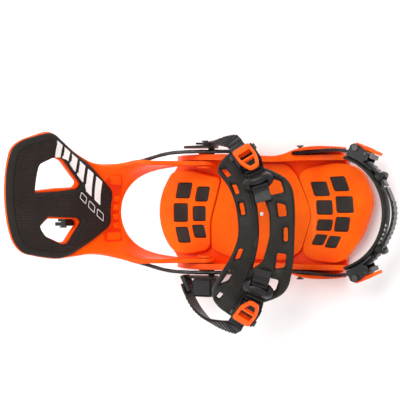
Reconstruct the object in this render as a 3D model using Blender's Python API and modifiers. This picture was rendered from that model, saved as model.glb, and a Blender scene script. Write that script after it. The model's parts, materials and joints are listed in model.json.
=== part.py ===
"""Rear-entry snowboard binding: a strap binding whose highback tips back and is held by a cable.

Run with: blender --background --python part.py
Sizes below are millimetres; the mesh helpers turn them into metres. +X points to the toe, +Y to the
left side and +Z up. The origin is the centre of the mounting disc's bottom face, on the board.
"""

import math

import bmesh
import bpy
from mathutils import Matrix, Vector

MM = 0.001
GAP = 0.3

# Base: plan and heights
FLOOR_LOW, FLOOR_TOP = 3.0, 8.0
HEEL_X, HEEL_RADIUS, HEEL_HALF = -126.0, 62.0, 44.0
BASE_FRONT_X = 96.0
WALL_IN, WALL_OUT = 54.5, 60.5
WAIST_IN, WAIST_OUT = 52.0, 57.5
SLOT_OUT, FLARE_OUT = 62.5, 67.0
DISC_RADIUS, DISC_FLANGE_RADIUS = 43.0, 49.5
DISC_LEDGE_Z = 5.0
BOLT_PATTERN = 40.0
FOOTBED_TOP = 14.0
COVER_TOP = 11.5
RAMP_SLOPE = math.radians(9.0)

# Joint axes, as (x, z): all of them run along Y
HIGHBACK_PIVOT = (-58.0, 30.0)
LINK_PIVOT = (-48.0, 33.0)
TOE_PIVOT = (52.0, 26.0)
CABLE_ANCHOR = (-12.0, 22.0)

# Highback shell: the back at height BACK_Z stands at BACK_X and leans back by BACK_LEAN
BACK_X, BACK_Z, BACK_LEAN = -142.5, 70.0, 0.10
HEEL_WRAP, CALF_WRAP = 53.6, 129.5
WRAP_LOW, WRAP_SPAN = 75.0, 70.0
WRAP_END = math.radians(90.0)
SHELL_THICK, BACK_PAD_THICK = 4.5, 6.0
SHELL_CELL = (12, 16)
CABLE_STEPS = 34

# Ankle strap: a circular arch in a plane that slopes forward, then straight ends
ANKLE_CROWN = Vector((48.0, -22.0, 98.0))
ANKLE_DROP = Vector((-0.841, 0.0, -0.541))
ANKLE_RADIUS, ANKLE_BEND = 84.0, math.radians(56.0)
ANKLE_RATCHET, ANKLE_KEEPER, ANKLE_LIFT = 83.5, 51.0, 0.8
ANKLE_SHIFT, ANKLE_END = 3.0, 107.0
STRAP_THICK = 5.0

# Toe strap: half an ellipse in plan, standing nearly upright
TOE_CENTRE_X, TOE_REACH, TOE_HALF = 95.0, 56.5, 55.0
TOE_Z, TOE_LEAN = 45.0, 0.18
TOE_THICK = 4.0
TOE_MEAN = (TOE_REACH + TOE_HALF) / 2
TOE_END, TOE_RATCHET, TOE_KEEPER = (math.radians(turn) for turn in (74.0, 66.0, 34.0))

# Ladder straps and ratchets
LADDER_HALF, LADDER_THICK, TOOTH, PITCH = 8.0, 2.2, 0.9, 5.0
LADDER_LIFT = 2.7
PIN_Z, PIN_X = 10.4, 2.0
PAWL_X, PAWL_Z = 13.0, 8.9
LEVER_REACH = {"ankle": 33.0, "toe": 25.0}

COLOURS = {
    "orange_nylon": ((0.95, 0.22, 0.02), 0.38, 0.0),
    "orange_footbed": ((0.98, 0.27, 0.03), 0.5, 0.0),
    "black_rubber": ((0.045, 0.04, 0.038), 0.75, 0.0),
    "black_foam": ((0.05, 0.045, 0.042), 0.85, 0.0),
    "black_plastic": ((0.03, 0.03, 0.03), 0.35, 0.0),
    "ladder_plastic": ((0.02, 0.018, 0.018), 0.2, 0.0),
    "steel": ((0.6, 0.6, 0.6), 0.3, 1.0),
    "cable": ((0.12, 0.11, 0.10), 0.45, 0.6),
    "disc_nylon": ((0.08, 0.08, 0.085), 0.5, 0.0),
}


# ---------------------------------------------------------------- scene and bodies


def clear_scene():
    for old in list(bpy.data.objects):
        bpy.data.objects.remove(old)


def new_collection(name):
    found = bpy.data.collections.new(name)
    bpy.context.scene.collection.children.link(found)
    return found


def make_materials():
    made = {}
    for name, (colour, roughness, metallic) in COLOURS.items():
        material = bpy.data.materials.new(name)
        material.use_nodes = True
        shader = material.node_tree.nodes["Principled BSDF"]
        shader.inputs["Base Color"].default_value = (*colour, 1.0)
        shader.inputs["Roughness"].default_value = roughness
        shader.inputs["Metallic"].default_value = metallic
        made[name] = material
    return made


def make_body(name, origin):
    """An empty on the body's joint axis; the body's pieces are its children."""
    empty = bpy.data.objects.new("body_" + name, None)
    empty.location = Vector(origin) * MM
    PARTS.objects.link(empty)
    return empty


def own(obj, name, material, body):
    """Names a finished object and hangs it on its body without moving it."""
    obj.name = name
    obj.data.name = name
    obj.data.materials.clear()
    obj.data.materials.append(MATERIALS[material])
    obj.parent = body
    obj.matrix_parent_inverse = Matrix.Translation(-body.location)
    return obj


# ---------------------------------------------------------------- outlines


def arc(cx, cy, radius, start, end, steps):
    """Points along an arc, angles in degrees."""
    turns = [math.radians(start + (end - start) * i / steps) for i in range(steps + 1)]
    return [(cx + radius * math.cos(t), cy + radius * math.sin(t)) for t in turns]


def rounded(corners, radius, steps=1):
    """A closed outline whose corners are filleted, each fillet no longer than its sides allow."""
    points = []
    for i, corner in enumerate(corners):
        here = Vector(corner)
        before, after = Vector(corners[i - 1]) - here, Vector(corners[(i + 1) % len(corners)]) - here
        reach = min(radius, 0.45 * before.length, 0.45 * after.length)
        first, last = here + before.normalized() * reach, here + after.normalized() * reach
        for k in range(steps + 1):
            t = k / steps
            points.append(tuple(first * (1 - t) ** 2 + here * 2 * t * (1 - t) + last * t * t))
    return points


def circle(radius):
    """A full circle's points, for the disc and its openings."""
    return arc(0, 0, radius, 0, 360, 28)[:-1]


def mirrored(points):
    return [(x, -y) for x, y in reversed(points)]


# ---------------------------------------------------------------- mesh helpers


def mesh_object(bm, name="shape"):
    mesh = bpy.data.meshes.new(name)
    bm.to_mesh(mesh)
    bm.free()
    obj = bpy.data.objects.new(name, mesh)
    PARTS.objects.link(obj)
    return obj


def bmesh_of(obj):
    bm = bmesh.new()
    bm.from_mesh(obj.data)
    return bm


def replace_mesh(obj, bm):
    bm.to_mesh(obj.data)
    bm.free()
    obj.data.update()
    return obj


def bake(obj):
    """Makes the evaluated mesh the object's own, so that code can go on shaping it."""
    bpy.context.view_layer.update()
    graph = bpy.context.evaluated_depsgraph_get()
    mesh = bpy.data.meshes.new_from_object(obj.evaluated_get(graph))
    made = bpy.data.objects.new(obj.name, mesh)
    made.matrix_world = obj.matrix_world
    PARTS.objects.link(made)
    bpy.data.objects.remove(obj)
    bm = bmesh_of(made)
    bmesh.ops.remove_doubles(bm, verts=bm.verts, dist=1e-6)
    return replace_mesh(made, bm)


def plate(outline, low, high, holes=()):
    """A flat outline with holes, filled and extruded from low to high along Z."""
    curve = bpy.data.curves.new("plate", "CURVE")
    curve.dimensions = "2D"
    curve.fill_mode = "BOTH"
    curve.extrude = (high - low) / 2 * MM
    for points in (outline, *holes):
        spline = curve.splines.new("POLY")
        spline.points.add(len(points) - 1)
        for point, (x, y) in zip(spline.points, points):
            point.co = (x * MM, y * MM, 0, 1)
        spline.use_cyclic_u = True
    obj = bpy.data.objects.new("plate", curve)
    PARTS.objects.link(obj)
    made = bake(obj)
    made.data.transform(Matrix.Translation((0, 0, (low + high) / 2 * MM)))
    return made


def side_plate(outline, low, high):
    """An outline drawn in X and Z, extruded along Y from low to high."""
    made = plate(outline, low, high)
    turn = Matrix(((1, 0, 0, 0), (0, 0, 1, 0), (0, 1, 0, 0), (0, 0, 0, 1)))
    made.data.transform(turn)
    made.data.flip_normals()
    return made


def box(low, high):
    bm = bmesh.new()
    bmesh.ops.create_cube(bm, size=MM)
    size = Vector(high) - Vector(low)
    bmesh.ops.scale(bm, vec=size, verts=bm.verts)
    bmesh.ops.translate(bm, vec=(Vector(high) + Vector(low)) / 2 * MM, verts=bm.verts)
    return mesh_object(bm)


def rod(radius, low, high, x=0.0, z=0.0):
    """A cylinder along Y from low to high, at x and z."""
    bm = bmesh.new()
    bmesh.ops.create_cone(
        bm,
        cap_ends=True,
        segments=10 if radius < 3.4 else 14,
        radius1=radius * MM,
        radius2=radius * MM,
        depth=(high - low) * MM,
    )
    turn = Matrix.Rotation(math.radians(-90), 4, "X")
    bm.transform(Matrix.Translation(Vector((x, (low + high) / 2, z)) * MM) @ turn)
    return mesh_object(bm)


def combine(obj, other, operation):
    """Joins, cuts or crosses two solids; the second one is used up."""
    modifier = obj.modifiers.new(operation, "BOOLEAN")
    modifier.operation = operation
    modifier.solver = "EXACT"
    modifier.object = other
    made = bake(obj)
    bpy.data.objects.remove(other)
    return made


def union(first, *others):
    for other in others:
        first = combine(first, other, "UNION")
    return first


def cut(first, *others):
    for other in others:
        first = combine(first, other, "DIFFERENCE")
    return first


def bevel(obj, width, angle=40.0):
    modifier = obj.modifiers.new("Bevel", "BEVEL")
    modifier.width = width * MM
    modifier.segments = 1
    modifier.limit_method = "ANGLE"
    modifier.angle_limit = math.radians(angle)
    return bake(obj)


def slice_up(obj, axis, step):
    """Adds edges across the mesh at every multiple of step along an axis, so that it can bend."""
    bm = bmesh_of(obj)
    places = [v.co[axis] / MM for v in bm.verts]
    normal = Vector((0, 0, 0))
    normal[axis] = 1
    for i in range(math.floor(min(places) / step) + 1, math.ceil(max(places) / step)):
        geometry = bm.verts[:] + bm.edges[:] + bm.faces[:]
        place = normal * i * step * MM
        made = bmesh.ops.bisect_plane(bm, geom=geometry, plane_co=place, plane_no=normal, dist=1e-6)
        for edge in made["geom_cut"]:
            if isinstance(edge, bmesh.types.BMEdge):
                edge.seam = True
    return replace_mesh(obj, bm)


def face_outwards(obj, bm):
    """Stores the mesh with its faces pointing out of the solid."""
    bmesh.ops.recalc_face_normals(bm, faces=bm.faces)
    if bm.calc_volume(signed=True) < 0:
        bmesh.ops.reverse_faces(bm, faces=bm.faces)
    return replace_mesh(obj, bm)


def wrap(obj, surface):
    """Moves each point (a, b, n) of a flat pattern to surface(a, b, n)."""
    bm = bmesh_of(obj)
    bmesh.ops.dissolve_limit(bm, angle_limit=0.01, verts=bm.verts, edges=bm.edges, delimit={"SEAM"})
    bmesh.ops.triangulate(bm, faces=bm.faces)
    for edge in bm.edges:
        edge.seam = False
    for vertex in bm.verts:
        vertex.co = surface(*(vertex.co / MM)) * MM
    return face_outwards(obj, bm)


def moved(obj, matrix):
    """Carries a shape drawn in local millimetres to its place, given as a matrix in millimetres."""
    place = matrix.copy()
    place.translation = matrix.translation * MM
    obj.data.transform(place)
    return obj


def frame_matrix(origin, x_axis, z_axis):
    """A right-handed frame in millimetres from its origin, X direction and nearly its Z direction."""
    x = Vector(x_axis).normalized()
    y = Vector(z_axis).cross(x).normalized()
    z = x.cross(y)
    turn = Matrix((x, y, z)).transposed().to_4x4()
    turn.translation = Vector(origin)
    return turn


def smooth(obj, angle=35.0):
    obj.data.shade_smooth()
    obj.data.set_sharp_from_angle(angle=math.radians(angle))
    return obj


# ---------------------------------------------------------------- surfaces that patterns wrap onto


def wrap_radius(v):
    """The highback hugs the heel tightly at its foot and opens out towards the calf."""
    t = min(1.0, max(0.0, (v - WRAP_LOW) / WRAP_SPAN))
    return HEEL_WRAP + (CALF_WRAP - HEEL_WRAP) * t * t * (3 - 2 * t)


def back_at(v):
    return BACK_X - BACK_LEAN * (v - BACK_Z)


def highback_surface(u, v, n):
    """u runs round the heel, v is the height and n the depth in from the outer face."""
    radius = wrap_radius(v)
    back = back_at(v)
    turn = max(-WRAP_END, min(WRAP_END, u / radius))
    straight = abs(u) - radius * abs(turn)
    side = math.copysign(1, u)
    x = back + radius - (radius - n) * math.cos(turn) + straight * math.sin(abs(turn))
    y = (radius - n) * math.sin(turn) + side * straight * math.cos(turn)
    return Vector((x, y, v))


def ankle_frame(s):
    """Point, direction towards +Y, direction towards the toe and outward normal at s."""
    side = math.copysign(1, s)
    turn = max(-ANKLE_BEND, min(ANKLE_BEND, s / ANKLE_RADIUS))
    straight = abs(s) - ANKLE_RADIUS * abs(turn)
    point = ANKLE_CROWN + ANKLE_RADIUS * (Vector((0, math.sin(turn), 0)) + ANKLE_DROP * (1 - math.cos(turn)))
    along = Vector((0, math.cos(turn), 0)) + ANKLE_DROP * math.sin(turn)
    point += along * straight * side
    share = s / 110.0
    forward = Vector((0.87, 0.5 * share, -0.43 + 0.1 * abs(share))).normalized()
    forward = (forward - along * forward.dot(along)).normalized()
    return point, along, forward, forward.cross(along)


def ankle_surface(s, w, n):
    point, _, forward, outward = ankle_frame(s)
    return point + forward * w + outward * n


def toe_frame(turn):
    """Point, direction towards +Y, upward direction and outward normal at an angle round the toe."""
    point = Vector((TOE_CENTRE_X + TOE_REACH * math.cos(turn), TOE_HALF * math.sin(turn), TOE_Z))
    along = Vector((-TOE_REACH * math.sin(turn), TOE_HALF * math.cos(turn), 0)).normalized()
    outward = along.cross(Vector((0, 0, 1)))
    up = (Vector((0, 0, 1)) + outward * TOE_LEAN * math.cos(turn)).normalized()
    return point, along, up, along.cross(up).normalized()


def toe_surface(s, w, n):
    """s is the distance round the toe from its middle."""
    point, _, up, outward = toe_frame(s / TOE_MEAN)
    return point + up * w + outward * n


class Route:
    """A smooth line through points, with a flat strip's outward normal at each."""

    def __init__(self, stations):
        self.points = [Vector(p) for p, _ in stations]
        self.normals = [Vector(n).normalized() for _, n in stations]
        self.lengths = [0.0]
        for a, b in zip(self.points, self.points[1:]):
            self.lengths.append(self.lengths[-1] + (b - a).length)
        self.length = self.lengths[-1]

    def at(self, s):
        s = max(0.0, min(self.length, s))
        i = max(k for k in range(len(self.points) - 1) if self.lengths[k] <= s or k == 0)
        t = (s - self.lengths[i]) / (self.lengths[i + 1] - self.lengths[i])
        last = len(self.points) - 1
        a, b, c, d = (self.points[max(0, min(last, k))] for k in (i - 1, i, i + 1, i + 2))
        m0, m1 = (c - a) / 2, (d - b) / 2
        point = (
            b * (2 * t**3 - 3 * t**2 + 1)
            + m0 * (t**3 - 2 * t**2 + t)
            + c * (3 * t**2 - 2 * t**3)
            + m1 * (t**3 - t**2)
        )
        normal = self.normals[i].lerp(self.normals[i + 1], t).normalized()
        return point, normal

    def surface(self, s, n, w):
        point, normal = self.at(s)
        ahead, behind = self.at(s + 1)[0], self.at(s - 1)[0]
        along = (ahead - behind).normalized()
        normal = (normal - along * normal.dot(along)).normalized()
        return point + normal * n + along.cross(normal) * w


# ---------------------------------------------------------------- base


def floor_outline():
    """Half of the floor, from the heel's middle along the left side to the front."""
    reach = math.degrees(math.asin(HEEL_HALF / HEEL_RADIUS))
    heel = arc(HEEL_X + HEEL_RADIUS, 0, HEEL_RADIUS, 180, 180 - reach, 5)
    side = [(-98, WALL_OUT), (-60, WALL_OUT + 0.5), (-30, WALL_OUT + 0.5), (20, WAIST_OUT + 0.5), (34, 60),
            (48, SLOT_OUT), (BASE_FRONT_X, SLOT_OUT)]
    return heel + side


def wall_outline():
    """The left wall's footprint, with the flared guard outside its front end."""
    outer = [(-98, WALL_OUT - 1), (-60, WALL_OUT), (-30, WALL_OUT), (0, 58.6), (20, WAIST_OUT), (34, 59.5)]
    guard = [(47, 64.4), (62, FLARE_OUT), (78, FLARE_OUT + 0.3), (94, 66.3), (94, 64.4)]
    slot = [(62, 63.4), (47, 62.4), (43.4, 61.9), (43.4, 58.2), (98, 58.2)]
    inner = [(98, 53), (50, 53), (20, WAIST_IN), (0, 53), (-30, WALL_IN), (-98, WALL_IN)]
    return outer + guard + slot + inner


def chassis_profile():
    """Side view that trims the walls: tall at the heel and toe, low at the waist."""
    crown = [(-64, 41), (-40, 41), (-22, 33), (10, 27), (40, 29), (70, 31), (90, 27), (100, 16)]
    return [(-130, 2), (-130, 12), (-99, 12), (-97, 22), (-80, 38), *crown, (110, 2)]


def make_chassis(body):
    half = floor_outline()
    floor = plate(half + mirrored(half)[:-1], FLOOR_LOW, FLOOR_TOP)
    walls = [plate(outline, FLOOR_LOW + 2, 50) for outline in (wall_outline(), mirrored(wall_outline()))]
    chassis = union(floor, *walls)
    chassis = combine(chassis, side_plate(chassis_profile(), -80, 80), "INTERSECT")
    opening = plate(circle(DISC_RADIUS + 0.8), 0, 20)
    ledge = plate(circle(DISC_FLANGE_RADIUS + 0.8), DISC_LEDGE_Z, 20)
    bores = [
        rod(4.4, -80, 80, *HIGHBACK_PIVOT),
        rod(3.8, -80, 80, *LINK_PIVOT),
        rod(3.3, -80, 80, *CABLE_ANCHOR),
        rod(2.3, -80, 80, *TOE_PIVOT),
    ]
    chassis = cut(chassis, opening, ledge, *bores)
    own(chassis, "base_chassis", "orange_nylon", body)


def disc_slots():
    """Four short slots on the 40 by 40 mm pattern, along X, so that the stance can be centred."""
    half = BOLT_PATTERN / 2
    places = [(x, y) for x in (-half, half) for y in (-half, half)]
    return [arc(x - 3, y, 3.3, 90, 270, 3) + arc(x + 3, y, 3.3, -90, 90, 3) for x, y in places]


def make_disc(body):
    boss = plate(circle(DISC_RADIUS), 0, 5.6, disc_slots())
    flange = plate(circle(DISC_FLANGE_RADIUS), DISC_LEDGE_Z + GAP, FLOOR_TOP - 0.1, disc_slots())
    own(smooth(union(boss, flange)), "mounting_disc", "disc_nylon", body)


def make_sole_pads(body):
    """Two foam pads under the base, cut back round the disc."""
    heel = arc(HEEL_X + HEEL_RADIUS, 0, HEEL_RADIUS - 3, 140, 220, 6)
    rear = heel + [(-52, -52)] + arc(0, 0, 46, 215, 145, 6) + [(-52, 52)]
    front = [(92, -52), (92, 52), (50, 52)] + arc(0, 0, 46, 35, -35, 6) + [(50, -52)]
    own(plate(rear, 0, FLOOR_LOW - GAP), "sole_pad_rear", "black_rubber", body)
    own(plate(front, 0, FLOOR_LOW - GAP), "sole_pad_front", "black_rubber", body)


def tread_block(x, y, length, width, lean):
    """A four-sided block centred at x and y whose sides slant more the further it is from the middle line."""
    half, wide, slant = length / 2, width / 2, lean * y
    front = [(x + half - slant, y + wide), (x + half + slant, y - wide)]
    return front + [(x - half + slant, y - wide), (x - half - slant, y + wide)]


def heel_windows():
    """Two columns of three blocks that close in towards the round heel."""
    rear = [(-93, 23, 16, 15), (-97, -1, 16, 18), (-94, -25, 14, 15)]
    front = [(-70, 19, 14, 14), (-74, -2, 14, 14), (-74, -21, 13, 12)]
    return [tread_block(*place, -0.08) for place in rear + front]


def toe_windows():
    """Two columns of four blocks that close in towards the toe."""
    rear = [(69, 24, 17, 13), (74, 5, 17, 13), (74, -13, 16, 10), (68, -28, 12, 9)]
    front = [(92, 29, 16, 13), (98, 8, 18, 15), (95, -12, 15, 13), (84, -30, 12, 10)]
    return [tread_block(*place, 0.1) for place in rear + front]


def shrunk(outline, by):
    """The outline drawn in towards its middle."""
    middle = sum((Vector(p) for p in outline), Vector((0, 0))) / len(outline)
    return [tuple(middle + (Vector(p) - middle) * (1 - by / (Vector(p) - middle).length)) for p in outline]


def tread(windows, sheet, sheet_low, sheet_high, lug_top):
    """One moulding: a backing sheet with a lug that fills each window."""
    made = plate(sheet, sheet_low, sheet_high)
    lugs = [plate(rounded(shrunk(w, 0.6), 1.5), sheet_high - 0.5, lug_top) for w in windows]
    return union(made, *lugs)


def make_heel_footbed(body):
    heel = arc(HEEL_X + HEEL_RADIUS, 0, HEEL_RADIUS - 0.5, 136, 224, 8)
    outline = heel + [(-88, -48), (-61, -41), (-61.5, -11), (-49, 33), (-51, 37), (-88, 46)]
    sheet = rounded([(-108, -14), (-106, 24), (-98, 36), (-58, 32), (-64, -32), (-98, -38)], 6)
    block = plate(outline, FLOOR_TOP + GAP, FOOTBED_TOP)
    pocket = plate(sheet, FLOOR_TOP - 1, 10.5)
    windows = [plate(rounded(w, 1.5), 9, 30) for w in heel_windows()]
    own(cut(bevel(block, 1.5), pocket, *windows), "heel_footbed", "orange_footbed", body)
    pad = tread(heel_windows(), shrunk(sheet, 0.6), FLOOR_TOP + GAP, 10.2, FOOTBED_TOP + 0.6)
    own(pad, "heel_grip_pad", "black_rubber", body)


def make_disc_cover(body):
    front = [(30, -50), (46, -40), (57.4, -5), (54.8, 8), (42, 37), (30, 50)]
    rear = [(-30, 50), (-50, 38), (-48, 33), (-60.6, -11), (-60, -40), (-32, -50)]
    hole = arc(0, -2, 2.6, 0, 360, 12)[:-1]
    outline = rounded(front + rear, 3)
    cover = bevel(plate(outline, FLOOR_TOP + 0.5, COVER_TOP, [hole]), 0.8)
    own(cover, "disc_cover", "orange_footbed", body)


def ramp_outline():
    """Straight flanks and a blunt nose that leans to the inner side."""
    nose = [(90, 51), (117, 44), (131, 12), (119, -22), (94, -52)]
    rear = [(58, -49), (47, -40.5), (58.2, -5), (55.6, 8), (42.8, 38), (52, 45)]
    return nose + rear


def ramp_profile(low, high):
    """Side view of a layer of the ramp that lies low to high over the floor and rises forward."""
    rise = math.tan(RAMP_SLOPE)
    return [(40, low), (64, low), (140, low + 76 * rise), (140, high + 80 * rise), (60, high), (40, high)]


def make_toe_ramp(body):
    block = plate(ramp_outline(), FLOOR_TOP + GAP, 40)
    keep = [(40, 0), (97, 0), (98, 11), (140, 17), (140, COVER_TOP + 1 + 80 * math.tan(RAMP_SLOPE)),
            (60, COVER_TOP + 1), (40, COVER_TOP)]
    block = bevel(combine(block, side_plate(keep, -60, 60), "INTERSECT"), 1.2)
    sheet = rounded([(60, -36), (60, 34), (94, 42), (112, 28), (112, -8), (86, -41)], 5)
    low, high = FLOOR_TOP + GAP, 10.2
    under = [(40, 0), (140, 0)] + ramp_profile(low, high + GAP)[3:]
    pocket = combine(plate(sheet, -5, 50), side_plate(under, -60, 60), "INTERSECT")
    windows = [plate(rounded(w, 1.5), 9, 50) for w in toe_windows()]
    own(cut(block, pocket, *windows), "toe_ramp", "orange_footbed", body)
    pad = combine(plate(shrunk(sheet, 0.6), 0, 40), side_plate(ramp_profile(low, high), -60, 60), "INTERSECT")
    for window in toe_windows():
        lug = plate(rounded(shrunk(window, 0.6), 1.5), 0, 40)
        lug = combine(lug, side_plate(ramp_profile(high - 0.5, COVER_TOP + 1.8), -60, 60), "INTERSECT")
        pad = union(pad, lug)
    own(pad, "toe_grip_pad", "black_rubber", body)


def make_rivet(name, body, axis, side, parts, material="steel"):
    """Coaxial cylinders along Y, given as (radius, near, far) distances from the middle plane."""
    pieces = []
    for radius, near, far in parts:
        low, high = sorted((side * near, side * far))
        pieces.append(rod(radius, low, high, *axis))
    own(smooth(union(*pieces)), name, material, body)


def make_base_hardware(body):
    for side, word in ((1, "left"), (-1, "right")):
        pivot = [(4.0, 47.5, 62), (7.5, 46.2, 48.5), (6.4, WALL_OUT + GAP, 62.6)]
        make_rivet(f"highback_pivot_{word}", body, HIGHBACK_PIVOT, side, pivot)
        anchor = [(3.0, 51.5, 66.9), (5.0, 50.6, 52.6), (5.5, 66.4, 68.6)]
        make_rivet(f"cable_anchor_bolt_{word}", body, CABLE_ANCHOR, side, anchor)
        make_rivet(f"toe_anchor_pin_{word}", body, TOE_PIVOT, side, [(2.0, 54, 68.3), (3.6, 66.9, 68.3)])
        link = [(3.4, 54.8, 72), (6.5, 69.9, 72)]
        make_rivet(f"link_bolt_{word}", body, LINK_PIVOT, side, link)


# ---------------------------------------------------------------- highback


def shell_outline():
    """Flat pattern of the shell in (u, v): arms to both pivots, arch below and panel above."""
    end = HIGHBACK_PIVOT[1]
    pivot_u = HEEL_WRAP * (WRAP_END - 1) + HIGHBACK_PIVOT[0] - back_at(end)
    left_arm = arc(pivot_u, end, 11, -110, 75, 6)
    left = [(96, 56), (76, 84), (57, 92), (52, 112), (53, 128), (63, 158), (78, 190), (85, 206), (85, 216),
            (80, 228), (74, 243), (65, 251), (47, 248)]
    top = [(20, 242.5), (-14, 237), (-30, 233), (-40, 224)]
    right = [(-45, 200), (-48, 178), (-46, 150), (-44, 125), (-48, 104), (-57, 90), (-76, 82), (-96, 56)]
    right_arm = arc(-pivot_u, end, 11, 105, 290, 6)
    arch = [(-88, 22), (-70, 30), (-60, 46), (-46, 60), (-25, 67), (0, 69), (25, 67), (46, 60), (60, 46),
            (70, 30), (88, 22)]
    return left_arm + left + top + right + right_arm + arch


def tall_window(grow):
    corners = [(58, 190), (50, 208), (22, 205), (25, 174), (26, 147), (31, 143), (54, 177)]
    return rounded(shrunk(corners, -grow), 5)


def short_window(grow):
    corners = [(-6, 184), (-7, 143), (-11, 139), (-30, 162), (-31, 171), (-24, 190), (-15, 197)]
    return rounded(shrunk(corners, -grow), 4)


def pad_outline():
    """Flat pattern of the foam pad, drawn inside the shell's outline."""
    left = [(24, 90), (54, 138), (62, 158), (78, 190), (86.5, 207), (87, 217), (82, 231), (77, 245)]
    top = [(68, 254), (46, 251), (20, 245.5), (-14, 240)]
    right = [(-31, 236), (-41.5, 227), (-46.5, 200), (-49, 178), (-46, 162), (-31, 124), (-15, 90)]
    return left + top + right


def make_shell(body):
    shell = plate(shell_outline(), 0, SHELL_THICK, [tall_window(0), short_window(0)])
    for axis, step in enumerate(SHELL_CELL):
        slice_up(shell, axis, step)
    shell = cut(wrap(shell, highback_surface), rod(4.4, -80, 80, *HIGHBACK_PIVOT))
    own(smooth(shell, 50), "highback_shell", "orange_nylon", body)
    low, high = SHELL_THICK + 2 * GAP, SHELL_THICK + BACK_PAD_THICK
    pad = plate(pad_outline(), low, high, [tall_window(3), short_window(3)])
    for axis, step in enumerate(SHELL_CELL):
        slice_up(pad, axis, step)
    own(smooth(wrap(pad, highback_surface), 50), "highback_pad", "black_foam", body)


def cable_points():
    """The left half of the cable's route, from its anchor to the middle of the highback's back."""
    x, z = CABLE_ANCHOR
    side = [(x - 9, 64.5, z + 4.5), (-42, 64.8, 38.5), (-66, 64.3, 50), (-86, 62, 60.5)]
    rise = [(68, 73), (52, 84), (35, 92.5), (17, 97), (0, 98)]
    return side + [highback_surface(u, v, -3.4) for u, v in rise]


def cable_route():
    left = cable_points()
    right = [(x, -y, z) for x, y, z in reversed(left[:-1])]
    return Route([(p, (0, 0, 1)) for p in left + right])


def tube(route, radius, steps, trim=0.0):
    """A round tube along a route, as a beveled curve with filled caps, short of both ends by trim."""
    curve = bpy.data.curves.new("tube", "CURVE")
    curve.dimensions = "3D"
    curve.bevel_depth = radius * MM
    curve.bevel_resolution = 2
    curve.use_fill_caps = True
    spline = curve.splines.new("POLY")
    spline.points.add(steps)
    for i, point in enumerate(spline.points):
        s = trim + (route.length - 2 * trim) * i / steps
        point.co = (*(route.at(s)[0] * MM), 1)
    obj = bpy.data.objects.new("tube", curve)
    PARTS.objects.link(obj)
    return bake(obj)


def make_cable(highback, base):
    own(smooth(tube(cable_route(), 2.0, CABLE_STEPS, 0.5)), "heel_cable", "cable", highback)
    x, z = CABLE_ANCHOR
    for side, word in ((1, "left"), (-1, "right")):
        low, high = sorted((side * 62.3, side * 66.0))
        eye = rod(6.0, low, high, x, z)
        slope = frame_matrix((x, side * 64.2, z), (1, 0, -0.5), (0, 0, 1))
        lug = moved(box((-11.5, -1.8, -2.6), (2, 1.8, 2.6)), slope)
        eye = cut(union(eye, lug), rod(3.4, -90, 90, x, z), tube(cable_route(), 2.4, CABLE_STEPS))
        own(eye, f"cable_eye_{word}", "steel", base)


def lever_frame():
    """Local frame on the back of the shell: X away from the shell, Z up along it."""
    height = 125.0
    origin = (BACK_X - BACK_LEAN * (height - BACK_Z), 0, height)
    return frame_matrix(origin, (-1, 0, -BACK_LEAN), (-BACK_LEAN, 0, 1))


LEVER_PIN = (10.5, 19.0)


def lever_pin_point():
    return lever_frame() @ Vector((LEVER_PIN[0], 0, LEVER_PIN[1]))


def shell_cutter():
    """A thick copy of the shell's back, which hollows a piece to sit on it."""
    made = plate([(-40, 80), (40, 80), (40, 175), (-40, 175)], -GAP, 20)
    for axis in (0, 1):
        slice_up(made, axis, 10)
    return wrap(made, highback_surface)


def make_lever(highback, lever_body):
    place = lever_frame()
    base = box((-6, -13.8, -21), (4.5, 13.8, 28))
    cheeks = [box((4, side * 11.9 - 1.9, 5), (15.5, side * 11.9 + 1.9, 26)) for side in (1, -1)]
    housing = cut(union(base, *cheeks), rod(2.5, -30, 30, *LEVER_PIN))
    housing = cut(moved(housing, place), shell_cutter())
    own(housing, "lever_housing", "black_plastic", highback)
    heads = [rod(3.8, *sorted((s * 14.2, s * 15.8)), *LEVER_PIN) for s in (1, -1)]
    pin = union(rod(2.2, -15, 15, *LEVER_PIN), *heads)
    own(smooth(moved(pin, place)), "lever_pin", "steel", highback)
    saddle = box((-6, -13, -34), (9, 13, -21.6))
    saddle = cut(moved(bevel(saddle, 1.5), place), shell_cutter(), tube(cable_route(), 2.4, CABLE_STEPS))
    own(saddle, "cable_saddle", "black_plastic", highback)
    top = LEVER_PIN[1]
    outline = [(-30, -12), (-34, 0), (-30, 12), (-12, 15), (0, 9.4),
               (top, 9.4), (top, -9.4), (0, -9.4), (-12, -15)]
    window = [(-25, -7), (-25, 7), (-12, 9), (-12, -9)]
    arm = plate(rounded(outline, 4), 10.3, 14.5, [rounded(window, 3)])
    stand = Matrix(((0, 0, 1, 0), (0, 1, 0, 0), (1, 0, 0, 0), (0, 0, 0, 1)))
    arm.data.transform(stand)
    arm.data.flip_normals()
    hub = rod(5.4, -9.4, 9.4, *LEVER_PIN)
    lever = cut(union(arm, hub), rod(2.6, -30, 30, *LEVER_PIN))
    own(smooth(moved(lever, place)), "lock_lever", "black_plastic", lever_body)


# ---------------------------------------------------------------- ratchets, keepers and ladders


def ratchet_base(surface, middle, shift, side, low):
    """A thin plate bent to lie on the strap's outer face, low above the face its pattern starts from."""
    outline = [(-5, -12), (16, -12), (25, -8), (25, 8), (16, 12), (-5, 12)]
    made = plate(rounded([(middle - side * x, y + shift) for x, y in outline], 3), low, low + 2)
    return wrap(slice_up(made, 0, 8), surface)


def ratchet_cheeks():
    """Local X runs towards the strap's middle and Z outwards."""
    outline = [(-4, 0.6), (14, 0.6), (17, 3), (17, 10), (11, 12), (6, 14), (-1, 14), (-4, 11)]
    made = [side_plate(outline, *sorted((s * 10, s * 12))) for s in (1, -1)]
    bores = [(2.1, PIN_X, PIN_Z), (1.7, PAWL_X, PAWL_Z)]
    return [cut(cheek, *(rod(r, -20, 20, x, z) for r, x, z in bores)) for cheek in made]


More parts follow.
